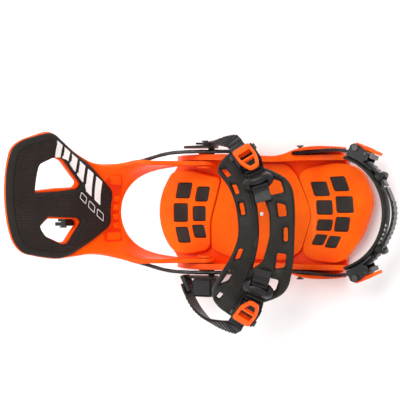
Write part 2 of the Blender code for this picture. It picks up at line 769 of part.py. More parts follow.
def ratchet_lever_shape(reach):
    """A tapered open handle on a round hub; a long one has a second window near its tip."""
    outline = [(-2, -9.6), (reach - 15, -9.6), (reach, -5.5), (reach, 5.5), (reach - 15, 9.6), (-2, 9.6)]
    windows = [rounded([(8, -6), (8, 6), (17, 6.3), (17, -6.3)], 2)]
    if reach > 30:
        windows.append(rounded([(20.5, -5.5), (20.5, 5.5), (reach - 4, 3.4), (reach - 4, -3.4)], 2))
    outline = rounded(outline, 3)
    handle = plate(outline, 12.4, 15.4, windows)
    return cut(union(handle, rod(4.3, -9.6, 9.6, PIN_X, PIN_Z)), rod(2.1, -20, 20, PIN_X, PIN_Z))


def ratchet_pin_shape():
    heads = [rod(3.2, *sorted((s * 12.3, s * 14)), PIN_X, PIN_Z) for s in (1, -1)]
    return union(rod(1.8, -13, 13, PIN_X, PIN_Z), *heads)


def pawl_shape():
    tooth = side_plate([(9.6, 8), (12, 11.2), (20, 10.8), (20.5, 6.6), (18, 7)], -9, 9)
    return union(tooth, rod(1.4, -11.6, 11.6, PAWL_X, PAWL_Z))


def keeper_shape(half_length, half_width):
    """A domed bridge that the ladder's tail slides under."""
    wide = half_width
    dome = [(-wide, GAP), (wide, GAP), (wide - 0.5, 7), (7, 9.8), (0, 10.6), (-7, 9.8), (0.5 - wide, 7)]
    slot = [(-9.4, 1.7), (9.4, 1.7), (9.4, 7.7), (-9.4, 7.7)]
    made = plate(dome, -half_length, half_length, [slot])
    stand = Matrix(((0, 0, 1, 0), (1, 0, 0, 0), (0, 1, 0, 0), (0, 0, 0, 1)))
    made.data.transform(stand)
    return made


def ladder_shape(route, plain_start, plain_end):
    """A toothed strip bent along a route, with no teeth on the given numbers of pitches at its ends."""
    profile = [(0, 0), (0, LADDER_THICK)]
    for i in range(plain_start, int(route.length / PITCH) - plain_end):
        foot = i * PITCH
        profile += [(foot, LADDER_THICK), (foot + 0.75 * PITCH, LADDER_THICK + TOOTH)]
    profile += [(foot + PITCH, LADDER_THICK), (route.length, LADDER_THICK), (route.length, 0)]
    made = plate(profile, -LADDER_HALF, LADDER_HALF)
    return wrap(slice_up(made, 0, PITCH), route.surface)


def make_ratchet(kind, word, place, base, strap, lever_body, pawl_body):
    lever = ratchet_lever_shape(LEVER_REACH[kind])
    frame = union(base, *(moved(cheek, place) for cheek in ratchet_cheeks()))
    own(frame, f"{kind}_ratchet_frame_{word}", "black_plastic", strap)
    for part, shape, material, body in (
        ("pin", ratchet_pin_shape(), "steel", strap),
        ("lever", lever, "orange_nylon", lever_body),
        ("pawl", pawl_shape(), "steel", pawl_body),
    ):
        own(smooth(moved(shape, place)), f"{kind}_ratchet_{part}_{word}", material, body)


# ---------------------------------------------------------------- ankle strap


def ankle_outline():
    """Two narrow wings, and a wide middle that bulges forward over the instep."""
    wing = 8.5
    rear = [(-ANKLE_END, -26), (-88, -38), (-50, -37), (0, -25), (40, -25), (96, -28), (ANKLE_END, -16)]
    front = [(ANKLE_END, wing), (72, wing), (44, 34), (0, 29), (-48, 31), (-72, wing), (-ANKLE_END, wing)]
    return rounded(rear + front, 6)


def opening(s, w, length, width, taper=0.0, slope=0.0):
    """A window centred at s and w, its outer end drawn in on the front side by taper."""
    near, far = (s + math.copysign(length / 2, s) * end for end in (-1, 1))
    tip = far - math.copysign(taper, s)
    corners = [(near, -width / 2), (far, -width / 2), (tip, width / 2), (near, width / 2)]
    return [(place, w + across + slope * (place - s)) for place, across in corners]


def ankle_windows():
    """The long middle slot, a row of slits along the rear edge and a row of windows along the front."""
    slot = [(46, -4), (0, -5), (-35, -8), (-26, 0), (0, 5), (20, 6), (44, 2)]
    rear = [opening(86, -20.5, 19, 4.5, 3), opening(57, -20, 17, 4, 3), opening(30, -19, 15, 4),
            opening(-22, -23.5, 15, 4, 3, 0.22), opening(-58, -29.5, 28, 4.5, 12, 0.12),
            opening(-90, -26.5, 14, 4)]
    front = [opening(47, 17.5, 20, 13, 9), opening(23, 19, 13, 8, 3), opening(1, 21, 12, 4)]
    front += [opening(-23, 18, 15, 9, 3), opening(-50, 13, 21, 13, 10)]
    return [rounded(window, 1.4) for window in [slot] + rear + front]


def ankle_place(s):
    """Local frame on the pad's outer face at s, X towards the strap's middle."""
    point, along, forward, outward = ankle_frame(s)
    place = point + forward * ANKLE_SHIFT + outward * (STRAP_THICK + ANKLE_LIFT)
    return frame_matrix(place, along * -math.copysign(1, s), outward)


def ankle_ladder_route(side):
    """From the link on the base's side, through the ratchet and keeper, to the tip by the slot."""
    lift = STRAP_THICK + ANKLE_LIFT + LADDER_LIFT
    if side > 0:
        start = [((-51, 70.2, 49), (0, 1, 0)), ((-38, 70.4, 53), (0, 1, 0.05))]
        start += [((-24, 72.2, 58), (0, 1, 0.5))]
    else:
        start = [
            ((-72, -76, 44), (-0.86, -0.5, 0)), ((-66, -87, 46), (-0.86, -0.5, 0)),
            ((-52, -102, 51), (-0.6, -0.8, 0.1)), ((-32, -112, 59), (-0.2, -0.9, 0.4)),
        ]
    stations = list(start)
    for s in (112, 102, 90, 78, 66, 54, 42, 31):
        _, _, _, outward = ankle_frame(side * s)
        sink = 1.5 if s == 31 else 0.0
        stations.append((ankle_surface(side * s, ANKLE_SHIFT, lift - sink), outward))
    return Route(stations)


def make_ankle_strap(strap, lever_bodies, pawl_bodies):
    pad = plate(ankle_outline(), 0, STRAP_THICK, ankle_windows())
    slice_up(pad, 0, 11)
    own(smooth(wrap(pad, ankle_surface), 50), "ankle_pad", "black_rubber", strap)
    for side, word in ((1, "left"), (-1, "right")):
        spot = side * ANKLE_RATCHET
        base = ratchet_base(ankle_surface, spot, ANKLE_SHIFT, side, STRAP_THICK + ANKLE_LIFT)
        make_ratchet("ankle", word, ankle_place(spot), base, strap, lever_bodies[word], pawl_bodies[word])
        keeper = moved(keeper_shape(5, 14), ankle_place(side * ANKLE_KEEPER))
        own(keeper, f"ankle_keeper_{word}", "black_rubber", strap)
    make_links(strap)


def ladder_anchor(side):
    """Local frame where a ladder is pinned to its link: X along the ladder, Y across both."""
    if side > 0:
        return frame_matrix((-46, 70.2, 50), (1, 0, 0.3), (0, 0, 1))
    return frame_matrix((-72, -76, 44), (0.479, -0.878, 0), (0, 0, 1))


def make_links(strap):
    """Side arms that swing the ankle strap on the base; the ladders are pinned to them."""
    x, z = LINK_PIVOT
    arm = [(x - 8, z - 4), (x, z - 9), (x + 8, z - 3), (x + 14, z + 18), (x + 8, z + 25), (x - 28, z + 12),
           (x - 30, z + 4)]
    for side, word in ((1, "left"), (-1, "right")):
        near, far = sorted((side * 67.0, side * 69.6))
        anchor = ladder_anchor(side)
        link = cut(side_plate(rounded(arm, 4), near, far), rod(3.8, -90, 90, x, z))
        pin_x, inner, outer = 0, -3.0, 2.8
        if side < 0:
            adjuster = bevel(box((-58, -88, 42), (-35, -69, 57)), 2)
            link = union(link, adjuster, moved(box((-9, 0.4, -7), (9, 4.4, 7)), anchor))
            pin_x, inner, outer = 4, 4.2, -2.5
        link = cut(link, moved(rod(2.4, -9, 9, pin_x), anchor))
        own(link, f"strap_link_{word}", "black_plastic", strap)
        ladder = ladder_shape(ankle_ladder_route(side), 3, 1)
        ladder = cut(ladder, moved(rod(2.4, -9, 9, pin_x), anchor))
        own(ladder, f"ankle_ladder_{word}", "ladder_plastic", strap)
        head = sorted((outer, outer + math.copysign(1.5, outer)))
        shank = sorted((inner, outer + math.copysign(1, outer)))
        pin = union(rod(2.0, *shank, pin_x), rod(3.6, *head, pin_x))
        own(smooth(moved(pin, anchor)), f"ladder_pin_{word}", "steel", strap)


# ---------------------------------------------------------------- toe strap


def toe_outline():
    reach = TOE_MEAN * TOE_END
    lower = [(-reach, -11), (-44, -12), (0, -12.5), (44, -12), (reach, -11)]
    upper = [(reach, 10), (44, 11.5), (0, 12), (-44, 11.5), (-reach, 10)]
    return rounded(lower + upper, 5)


def toe_place(turn):
    point, along, _, outward = toe_frame(turn)
    return frame_matrix(point + outward * TOE_THICK, along * -math.copysign(1, turn), outward)


def toe_ladder_route(side):
    """From the anchor pin in the base's slot, through the ratchet and keeper, round the front."""
    stations = [((TOE_PIVOT[0] - 4, side * 59.2, 25), (0, side, 0)), ((66, side * 59.4, 29), (0, side, 0)),
                ((84, side * 60.6, 35), (0, side, 0)), ((98, side * 60.6, 39.5), (0.1, side, 0))]
    for turn in range(73, 24 if side > 0 else -24, -8):
        point, _, _, outward = toe_frame(math.radians(side * turn))
        bow = 2 * math.cos(math.radians(90 * turn / 28)) ** 2 if abs(turn) < 28 else 0.0
        stations.append((point + outward * (TOE_THICK + LADDER_LIFT + bow), outward))
    return Route(stations)


def make_toe_strap(strap, lever_bodies, pawl_bodies):
    pad = plate(toe_outline(), 0, TOE_THICK)
    slice_up(pad, 0, 8)
    own(smooth(wrap(pad, toe_surface), 50), "toe_pad", "black_rubber", strap)
    for side, word in ((1, "left"), (-1, "right")):
        spot = side * TOE_RATCHET
        base = ratchet_base(toe_surface, spot * TOE_MEAN, 0, side, TOE_THICK + GAP)
        make_ratchet("toe", word, toe_place(spot), base, strap, lever_bodies[word], pawl_bodies[word])
        keeper = moved(keeper_shape(3, 12), toe_place(side * TOE_KEEPER))
        own(keeper, f"toe_keeper_{word}", "black_rubber", strap)
        ladder = cut(ladder_shape(toe_ladder_route(side), 8, 2), rod(2.3, -80, 80, *TOE_PIVOT))
        own(ladder, f"toe_ladder_{word}", "ladder_plastic", strap)


# ---------------------------------------------------------------- assembly


def main():
    base = make_body("base", (0, 0, 0))
    disc = make_body("disc", (0, 0, 0))
    highback = make_body("highback", (HIGHBACK_PIVOT[0], 0, HIGHBACK_PIVOT[1]))
    lever = make_body("lock_lever", lever_pin_point())
    ankle = make_body("ankle_strap", (LINK_PIVOT[0], 0, LINK_PIVOT[1]))
    toe = make_body("toe_strap", (TOE_PIVOT[0], 0, TOE_PIVOT[1]))
    ramp = make_body("toe_ramp", (BASE_FRONT_X, 0, FLOOR_TOP))
    levers, pawls = {"ankle": {}, "toe": {}}, {"ankle": {}, "toe": {}}
    for side, word in ((1, "left"), (-1, "right")):
        places = {"ankle": ankle_place(side * ANKLE_RATCHET), "toe": toe_place(side * TOE_RATCHET)}
        for strap, place in places.items():
            pin, axle = Vector((PIN_X, 0, PIN_Z)), Vector((PAWL_X, 0, PAWL_Z))
            levers[strap][word] = make_body(f"{strap}_lever_{word}", place @ pin)
            pawls[strap][word] = make_body(f"{strap}_pawl_{word}", place @ axle)
    make_chassis(base)
    make_disc(disc)
    make_sole_pads(base)
    make_heel_footbed(base)
    make_disc_cover(base)
    make_toe_ramp(ramp)
    make_base_hardware(base)
    make_shell(highback)
    make_cable(highback, base)
    make_lever(highback, lever)
    make_ankle_strap(ankle, levers["ankle"], pawls["ankle"])
    make_toe_strap(toe, levers["toe"], pawls["toe"])


clear_scene()
PARTS = new_collection("rear_entry_binding")
MATERIALS = make_materials()
main()
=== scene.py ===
"""Fine surfaces, materials, light and camera for the rear-entry snowboard binding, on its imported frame.

Sizes are millimetres in the drawing functions, which turn them into metres. +X points to the toe.
"""

import json
import math

import bmesh
import bpy
import numpy as np
from mathutils import Matrix, Vector


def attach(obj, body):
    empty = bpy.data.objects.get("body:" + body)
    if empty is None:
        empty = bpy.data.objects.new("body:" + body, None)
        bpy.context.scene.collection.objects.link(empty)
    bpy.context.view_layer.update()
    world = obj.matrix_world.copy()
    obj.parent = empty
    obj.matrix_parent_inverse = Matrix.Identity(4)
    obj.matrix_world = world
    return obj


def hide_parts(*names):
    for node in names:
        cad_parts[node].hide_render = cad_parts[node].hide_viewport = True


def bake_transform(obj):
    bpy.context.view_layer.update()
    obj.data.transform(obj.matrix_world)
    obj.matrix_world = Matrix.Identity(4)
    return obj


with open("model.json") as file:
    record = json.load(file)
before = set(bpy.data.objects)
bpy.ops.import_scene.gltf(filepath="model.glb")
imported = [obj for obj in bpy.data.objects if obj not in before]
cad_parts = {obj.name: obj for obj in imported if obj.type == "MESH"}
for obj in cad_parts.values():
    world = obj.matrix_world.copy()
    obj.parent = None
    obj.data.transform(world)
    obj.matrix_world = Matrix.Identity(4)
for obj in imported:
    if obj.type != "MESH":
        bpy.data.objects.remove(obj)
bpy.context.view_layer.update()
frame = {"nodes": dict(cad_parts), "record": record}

MM = 0.001
GAP = 0.3
RECORD = frame["record"]
BODY_OF = {node: body for body, nodes in RECORD["behaviour"]["bodies"].items() for node in nodes}
SLOT_OF = {part["node"]: part["material_slot"] for part in RECORD["subparts"]}
DONE = set()

# Places and sizes shared with the part, and a few that only this script uses
FLOOR_LOW, FLOOR_TOP = 3.0, 8.0
HEEL_X, HEEL_RADIUS, HEEL_HALF = -126.0, 62.0, 44.0
BASE_FRONT_X = 96.0
WALL_IN, WALL_OUT = 54.5, 60.5
WAIST_IN, WAIST_OUT = 52.0, 57.5
SLOT_OUT, FLARE_OUT = 62.5, 67.0
DISC_RADIUS, DISC_FLANGE_RADIUS = 43.0, 49.5
DISC_LEDGE_Z = 5.0
FOOTBED_TOP, COVER_TOP = 14.0, 11.5
RAMP_SLOPE = math.radians(9.0)
TREAD_GROWTH = 1.6
HIGHBACK_PIVOT = (-58.0, 30.0)
LINK_PIVOT = (-48.0, 33.0)
TOE_PIVOT = (52.0, 26.0)
CABLE_ANCHOR = (-12.0, 22.0)
BACK_X, BACK_Z, BACK_LEAN = -142.5, 70.0, 0.10
HEEL_WRAP, CALF_WRAP = 53.6, 129.5
WRAP_LOW, WRAP_SPAN = 75.0, 70.0
WRAP_END = math.radians(90.0)
SHELL_THICK, BACK_PAD_THICK = 4.5, 6.0
ANKLE_CROWN = Vector((48.0, -22.0, 98.0))
ANKLE_DROP = Vector((-0.841, 0.0, -0.541))
ANKLE_RADIUS, ANKLE_BEND = 84.0, math.radians(56.0)
STRAP_THICK = 5.0
TOE_CENTRE_X, TOE_REACH, TOE_HALF = 95.0, 56.5, 55.0
TOE_Z, TOE_LEAN, TOE_THICK = 45.0, 0.18, 4.0
TOE_MEAN = (TOE_REACH + TOE_HALF) / 2
TOE_END, TOE_RATCHET, TOE_KEEPER = (math.radians(turn) for turn in (74.0, 66.0, 34.0))
ANKLE_RATCHET, ANKLE_KEEPER, ANKLE_LIFT = 83.5, 51.0, 0.8
ANKLE_SHIFT, ANKLE_END = 3.0, 107.0
PIN_X, PIN_Z = 2.0, 10.4
PIVOT_BORE = 4.4
THROUGH = 80.0
PRINT_RISE = 0.36
RING_STEPS = 30


# ---------------------------------------------------------------- materials


def node(tree, kind, **settings):
    made = tree.nodes.new(kind)
    for key, value in settings.items():
        setattr(made, key, value)
    return made


def noise(tree, vector, scale, detail=3.0):
    made = node(tree, "ShaderNodeTexNoise")
    made.inputs["Scale"].default_value = scale
    made.inputs["Detail"].default_value = detail
    tree.links.new(vector, made.inputs["Vector"])
    return made.outputs["Fac"]


def spread(tree, value, low, high, out_low, out_high):
    made = node(tree, "ShaderNodeMapRange")
    for key, number in zip(("From Min", "From Max", "To Min", "To Max"), (low, high, out_low, out_high)):
        made.inputs[key].default_value = number
    tree.links.new(value, made.inputs["Value"])
    return made.outputs["Result"]


def mix(tree, share, first, second):
    """First and second are colours or sockets."""
    made = node(tree, "ShaderNodeMix", data_type="RGBA")
    tree.links.new(share, made.inputs["Factor"])
    for key, value in ((6, first), (7, second)):
        if isinstance(value, bpy.types.NodeSocket):
            tree.links.new(value, made.inputs[key])
        else:
            made.inputs[key].default_value = (*value, 1.0)
    return made.outputs[2]


def bump(tree, height, distance, strength, normal=None):
    made = node(tree, "ShaderNodeBump")
    made.inputs["Distance"].default_value = distance
    made.inputs["Strength"].default_value = strength
    tree.links.new(height, made.inputs["Height"])
    if normal is not None:
        tree.links.new(normal, made.inputs["Normal"])
    return made.outputs["Normal"]


def math_node(tree, operation, first, second):
    made = node(tree, "ShaderNodeMath", operation=operation)
    for key, value in ((0, first), (1, second)):
        if isinstance(value, bpy.types.NodeSocket):
            tree.links.new(value, made.inputs[key])
        else:
            made.inputs[key].default_value = value
    return made.outputs[0]


def knurl(tree, vector, pitch):
    """Rows of small diamonds on the Y-Z plane."""
    waves = []
    for slant in (1.0, -1.0):
        along = node(tree, "ShaderNodeVectorMath", operation="DOT_PRODUCT")
        along.inputs[1].default_value = (0, 1, slant)
        tree.links.new(vector, along.inputs[0])
        turns = math_node(tree, "MULTIPLY", along.outputs["Value"], 2 * math.pi / (pitch * MM * math.sqrt(2)))
        waves.append(math_node(tree, "SINE", turns, 0.0))
    return math_node(tree, "MULTIPLY", *waves)


def moulded(name, dark, light, rough, grain=2600.0, depth=0.25, metal=0.0, worn=None, coat=0.0,
            pitch=None, shine=0.5, shade=None):
    """A mottled, fine-grained surface with uneven gloss; worn edges, and painted shade in the hollows, where
    asked.
    """
    material = bpy.data.materials.new(name)
    material.use_nodes = True
    tree = material.node_tree
    shader = tree.nodes["Principled BSDF"]
    shader.inputs["Metallic"].default_value = metal
    shader.inputs["Coat Weight"].default_value = coat
    shader.inputs["Coat Roughness"].default_value = 0.12
    shader.inputs["Specular IOR Level"].default_value = shine
    place = node(tree, "ShaderNodeTexCoord").outputs["Object"]
    mottle = noise(tree, place, 45.0, 4.0)
    colour = mix(tree, spread(tree, mottle, 0.35, 0.65, 0.0, 1.0), dark, light)
    grains = noise(tree, place, grain, 2.0)
    uneven = spread(tree, noise(tree, place, 160.0), 0.3, 0.7, rough - 0.06, rough + 0.07)
    normal = bump(tree, grains, 0.00012, depth)
    if pitch:
        weave = knurl(tree, place, pitch)
        colour = mix(tree, spread(tree, weave, -0.6, 0.7, 0.0, 1.0), [c * 0.55 for c in dark], colour)
        normal = bump(tree, weave, 0.0005, 0.8, normal)
    # Painted shade: where asked, hollows found by ambient occlusion are tinted towards the shade colour.
    if shade:
        hollow = node(tree, "ShaderNodeAmbientOcclusion", samples=6)
        hollow.inputs["Distance"].default_value = 0.022
        colour = mix(tree, spread(tree, hollow.outputs["AO"], 0.35, 0.85, 0.0, 1.0), shade, colour)
    if worn:
        edge = node(tree, "ShaderNodeNewGeometry").outputs["Pointiness"]
        rub = math_node(tree, "MULTIPLY", spread(tree, edge, 0.53, 0.62, 0.0, 0.55), mottle)
        colour = mix(tree, rub, colour, worn)
    tree.links.new(colour, shader.inputs["Base Color"])
    tree.links.new(uneven, shader.inputs["Roughness"])
    tree.links.new(normal, shader.inputs["Normal"])
    return material


# Painted shade: the deep orange that the hollows of the orange parts are tinted towards.
PAINTED_SHADE_ORANGE = (0.86, 0.040, 0.0)
PALE_ORANGE = (1.0, 0.24, 0.05)

MATERIALS = {
    "orange_nylon": moulded("orange_nylon", (0.96, 0.082, 0.0), (1.0, 0.112, 0.0), 0.36, 3200, 0.3,
                            worn=PALE_ORANGE, shine=0.16, shade=PAINTED_SHADE_ORANGE),
    "orange_footbed": moulded("orange_footbed", (0.95, 0.10, 0.0), (1.0, 0.135, 0.0), 0.46, 2200, 0.45,
                              worn=PALE_ORANGE, shine=0.12, shade=PAINTED_SHADE_ORANGE),
    # Painted shade: a deeper orange for the thin sheet laid over the neck, where the neck lies in shade.
    "orange_painted_shade": moulded("orange_painted_shade", (0.84, 0.03, 0.0), (0.92, 0.045, 0.0), 0.5, 2600, 0.5,
                             shine=0.15),
    "black_rubber": moulded("black_rubber", (0.010, 0.008, 0.006), (0.016, 0.013, 0.010), 0.5, 1800, 0.5,
                            worn=(0.045, 0.04, 0.036), shine=0.2),
    "tread_rubber": moulded("tread_rubber", (0.022, 0.017, 0.015), (0.034, 0.027, 0.024), 0.7, 1500, 0.8,
                            worn=(0.08, 0.07, 0.065), shine=0.2),
    "black_foam": moulded("black_foam", (0.014, 0.011, 0.009), (0.020, 0.016, 0.013), 0.6, 1500, 0.6,
                          shine=0.18),
    "knurled_foam": moulded("knurled_foam", (0.018, 0.014, 0.012), (0.030, 0.024, 0.020), 0.62, 1500, 0.5,
                            pitch=3.4, shine=0.18),
    "black_plastic": moulded("black_plastic", (0.007, 0.006, 0.006), (0.012, 0.010, 0.010), 0.34, 3000, 0.3,
                             worn=(0.04, 0.04, 0.04), shine=0.25),
    "ladder_plastic": moulded("ladder_plastic", (0.005, 0.004, 0.004), (0.010, 0.008, 0.008), 0.32, 2600,
                              0.15, worn=(0.02, 0.02, 0.02), coat=0.08, shine=0.22),
    "steel": moulded("steel", (0.30, 0.30, 0.31), (0.42, 0.42, 0.43), 0.3, 3600, 0.35, metal=1.0,
                     worn=(0.6, 0.6, 0.6)),
    "dark_steel": moulded("dark_steel", (0.05, 0.048, 0.047), (0.09, 0.087, 0.085), 0.34, 3600, 0.35,
                          metal=0.9, worn=(0.3, 0.3, 0.3)),
    "cable": moulded("cable", (0.013, 0.011, 0.010), (0.026, 0.023, 0.021), 0.32, 2600, 0.3, metal=0.2,
                     coat=0.2, shine=0.4),
    "disc_nylon": moulded("disc_nylon", (0.05, 0.05, 0.052), (0.075, 0.075, 0.08), 0.5, 2400, 0.5,
                          worn=(0.18, 0.18, 0.18)),
    "white_print": moulded("white_print", (0.78, 0.78, 0.77), (0.9, 0.9, 0.89), 0.5, 2200, 0.4),
    # Painted light: the white of the disc set in the cover's hole.
    "hole_light_white": moulded("hole_light_white", (0.85, 0.84, 0.82), (0.95, 0.94, 0.92), 0.4, 2200, 0.3),
}


# ---------------------------------------------------------------- mesh helpers


def arc(cx, cy, radius, start, end, steps):
    turns = [math.radians(start + (end - start) * i / steps) for i in range(steps + 1)]
    return [(cx + radius * math.cos(t), cy + radius * math.sin(t)) for t in turns]


def rounded(corners, radius, steps=5):
    """A closed outline whose corners are filleted, each fillet no longer than its sides allow."""
    points = []
    for i, corner in enumerate(corners):
        here = Vector(corner)
        before, after = Vector(corners[i - 1]) - here, Vector(corners[(i + 1) % len(corners)]) - here
        reach = min(radius, 0.48 * before.length, 0.48 * after.length)
        first, last = here + before.normalized() * reach, here + after.normalized() * reach
        for k in range(steps + 1):
            t = k / steps
            points.append(tuple(first * (1 - t) ** 2 + here * 2 * t * (1 - t) + last * t * t))
    return points


def mirrored(points):
    return [(x, -y) for x, y in reversed(points)]


def shrunk(outline, by):
    middle = sum((Vector(p) for p in outline), Vector((0, 0))) / len(outline)
    return [tuple(middle + (Vector(p) - middle) * (1 - by / (Vector(p) - middle).length)) for p in outline]


def inset(outline, by):
    """The outline moved inwards along its own normals; a negative distance moves it outwards."""
    points = [Vector(p) for p in outline]
    count = len(points)
    area = sum(points[i - 1].cross(points[i]) for i in range(count))
    side = math.copysign(by, area)
    moved_points = []
    for i, here in enumerate(points):
        along = points[(i + 2) % count] - points[i - 2]
        moved_points.append(tuple(here + Vector((-along.y, along.x)).normalized() * side))
    return moved_points


def mesh_object(bm, name="shape"):
    mesh = bpy.data.meshes.new(name)
    bm.to_mesh(mesh)
    bm.free()
    obj = bpy.data.objects.new(name, mesh)
    bpy.context.scene.collection.objects.link(obj)
    return obj


def bmesh_of(obj):
    bm = bmesh.new()
    bm.from_mesh(obj.data)
    return bm


def replace_mesh(obj, bm):
    bm.to_mesh(obj.data)
    bm.free()
    obj.data.update()
    return obj


def bake(obj, weld=True):
    """Makes the evaluated mesh the object's own."""
    bpy.context.view_layer.update()
    graph = bpy.context.evaluated_depsgraph_get()
    mesh = bpy.data.meshes.new_from_object(obj.evaluated_get(graph))
    made = bpy.data.objects.new(obj.name, mesh)
    made.matrix_world = obj.matrix_world
    bpy.context.scene.collection.objects.link(made)
    bpy.data.objects.remove(obj)
    if not weld:
        return made
    bm = bmesh_of(made)
    bmesh.ops.remove_doubles(bm, verts=bm.verts, dist=1e-6)
    return replace_mesh(made, bm)


def plate(outline, low, high, holes=()):
    """A flat outline with holes, filled and extruded from low to high along Z."""
    curve = bpy.data.curves.new("plate", "CURVE")
    curve.dimensions = "2D"
    curve.fill_mode = "BOTH"
    curve.extrude = (high - low) / 2 * MM
    for points in (outline, *holes):
        spline = curve.splines.new("POLY")
        spline.points.add(len(points) - 1)
        for point, (x, y) in zip(spline.points, points):
            point.co = (x * MM, y * MM, 0, 1)
        spline.use_cyclic_u = True
    obj = bpy.data.objects.new("plate", curve)
    bpy.context.scene.collection.objects.link(obj)
    made = bake(obj)
    made.data.transform(Matrix.Translation((0, 0, (low + high) / 2 * MM)))
    return made


def side_plate(outline, low, high):
    """An outline drawn in X and Z, extruded along Y from low to high."""
    made = plate(outline, low, high)
    made.data.transform(Matrix(((1, 0, 0, 0), (0, 0, 1, 0), (0, 1, 0, 0), (0, 0, 0, 1))))
    made.data.flip_normals()
    return made


def rod(radius, low, high, x=0.0, z=0.0):
    """A cylinder along Y from low to high, at x and z."""
    bm = bmesh.new()
    bmesh.ops.create_cone(bm, cap_ends=True, segments=32, radius1=radius * MM, radius2=radius * MM,
                          depth=(high - low) * MM)
    turn = Matrix.Rotation(math.radians(-90), 4, "X")
    bm.transform(Matrix.Translation(Vector((x, (low + high) / 2, z)) * MM) @ turn)
    return mesh_object(bm)


def combine(obj, other, operation):
    modifier = obj.modifiers.new(operation, "BOOLEAN")
    modifier.operation = operation
    modifier.solver = "EXACT"
    modifier.object = other
    made = bake(obj)
    bpy.data.objects.remove(other)
    return made


def union(first, *others):
    for other in others:
        first = combine(first, other, "UNION")
    return first


def cut(first, *others):
    for other in others:
        first = combine(first, other, "DIFFERENCE")
    return first


def soften(obj, width, segments=3, angle=38.0):
    """Rounds the edges that bend more than angle."""
    bm = bmesh_of(obj)
    bmesh.ops.dissolve_limit(bm, angle_limit=0.01, verts=bm.verts, edges=bm.edges)
    replace_mesh(obj, bm)
    modifier = obj.modifiers.new("Bevel", "BEVEL")
    modifier.width = width * MM
    modifier.segments = segments
    modifier.limit_method = "ANGLE"
    modifier.angle_limit = math.radians(angle)
    modifier.use_clamp_overlap = True
    return bake(obj, weld=False)


def slice_up(obj, axis, step):
    """Adds edges across the mesh at every multiple of step along an axis, so that it can bend."""
    bm = bmesh_of(obj)
    places = [v.co[axis] / MM for v in bm.verts]
    normal = Vector((0, 0, 0))
    normal[axis] = 1
    for i in range(math.floor(min(places) / step) + 1, math.ceil(max(places) / step)):
        geometry = bm.verts[:] + bm.edges[:] + bm.faces[:]
        place = normal * i * step * MM
        bmesh.ops.bisect_plane(bm, geom=geometry, plane_co=place, plane_no=normal, dist=1e-7)
    return replace_mesh(obj, bm)


def wrap(obj, surface):
    """Moves each point (a, b, n) of a flat pattern to surface(a, b, n)."""
    bm = bmesh_of(obj)
    bmesh.ops.triangulate(bm, faces=bm.faces)
    for vertex in bm.verts:
        vertex.co = surface(*(vertex.co / MM)) * MM
    bmesh.ops.recalc_face_normals(bm, faces=bm.faces)
    if bm.calc_volume(signed=True) < 0:
        bmesh.ops.reverse_faces(bm, faces=bm.faces)
    return replace_mesh(obj, bm)


def finish_piece(obj, name, material, body, nodes=()):
    """Names a piece, gives it its material and hangs it on its body, in place of its CAD nodes."""
    obj.name = name
    obj.data.name = name
    obj.data.materials.clear()
    obj.data.materials.append(MATERIALS[material])
    obj.data.shade_smooth()
    obj.data.set_sharp_from_angle(angle=math.radians(32))
    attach(obj, body)
    if nodes:
        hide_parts(*nodes)
        DONE.update(nodes)
    return obj


def even_normals(obj):
    modifier = obj.modifiers.new("Normals", "WEIGHTED_NORMAL")
    modifier.keep_sharp = True
    modifier.weight = 80
    return obj


# ---------------------------------------------------------------- surfaces that patterns wrap onto


def wrap_radius(v):
    t = min(1.0, max(0.0, (v - WRAP_LOW) / WRAP_SPAN))
    return HEEL_WRAP + (CALF_WRAP - HEEL_WRAP) * t * t * (3 - 2 * t)


def back_at(v):
    return BACK_X - BACK_LEAN * (v - BACK_Z)


def highback_surface(u, v, n):
    """u runs round the heel, v is the height and n the depth in from the outer face."""
    radius = wrap_radius(v)
    back = back_at(v)
    turn = max(-WRAP_END, min(WRAP_END, u / radius))
    straight = abs(u) - radius * abs(turn)
    side = math.copysign(1, u)
    x = back + radius - (radius - n) * math.cos(turn) + straight * math.sin(abs(turn))
    y = (radius - n) * math.sin(turn) + side * straight * math.cos(turn)
    return Vector((x, y, v))


def ankle_frame(s):
    side = math.copysign(1, s)
    turn = max(-ANKLE_BEND, min(ANKLE_BEND, s / ANKLE_RADIUS))
    straight = abs(s) - ANKLE_RADIUS * abs(turn)
    point = ANKLE_CROWN + ANKLE_RADIUS * (Vector((0, math.sin(turn), 0)) + ANKLE_DROP * (1 - math.cos(turn)))
    along = Vector((0, math.cos(turn), 0)) + ANKLE_DROP * math.sin(turn)
    point += along * straight * side
    share = s / 110.0
    forward = Vector((0.87, 0.5 * share, -0.43 + 0.1 * abs(share))).normalized()
    forward = (forward - along * forward.dot(along)).normalized()
    return point, along, forward, forward.cross(along)


def ankle_surface(s, w, n):
    point, _, forward, outward = ankle_frame(s)
    return point + forward * w + outward * n


def toe_frame(turn):
    point = Vector((TOE_CENTRE_X + TOE_REACH * math.cos(turn), TOE_HALF * math.sin(turn), TOE_Z))
    along = Vector((-TOE_REACH * math.sin(turn), TOE_HALF * math.cos(turn), 0)).normalized()
    outward = along.cross(Vector((0, 0, 1)))
    up = (Vector((0, 0, 1)) + outward * TOE_LEAN * math.cos(turn)).normalized()
    return point, along, up, along.cross(up).normalized()


def toe_surface(s, w, n):
    point, _, up, outward = toe_frame(s / TOE_MEAN)
    return point + up * w + outward * n


def edge_distances(points, loops):
    """Distance from each 2-D point to the nearest of the outlines."""
    places = np.array(points, float)
    nearest = np.full(len(places), 1e9)
    for loop in loops:
        ends = np.array(loop, float)
        for a, b in zip(ends, np.roll(ends, -1, axis=0)):
            run = b - a
            share = np.clip((places - a) @ run / max(run @ run, 1e-9), 0, 1)
            gap = places - (a + share[:, None] * run)
            nearest = np.minimum(nearest, np.hypot(gap[:, 0], gap[:, 1]))
    return nearest


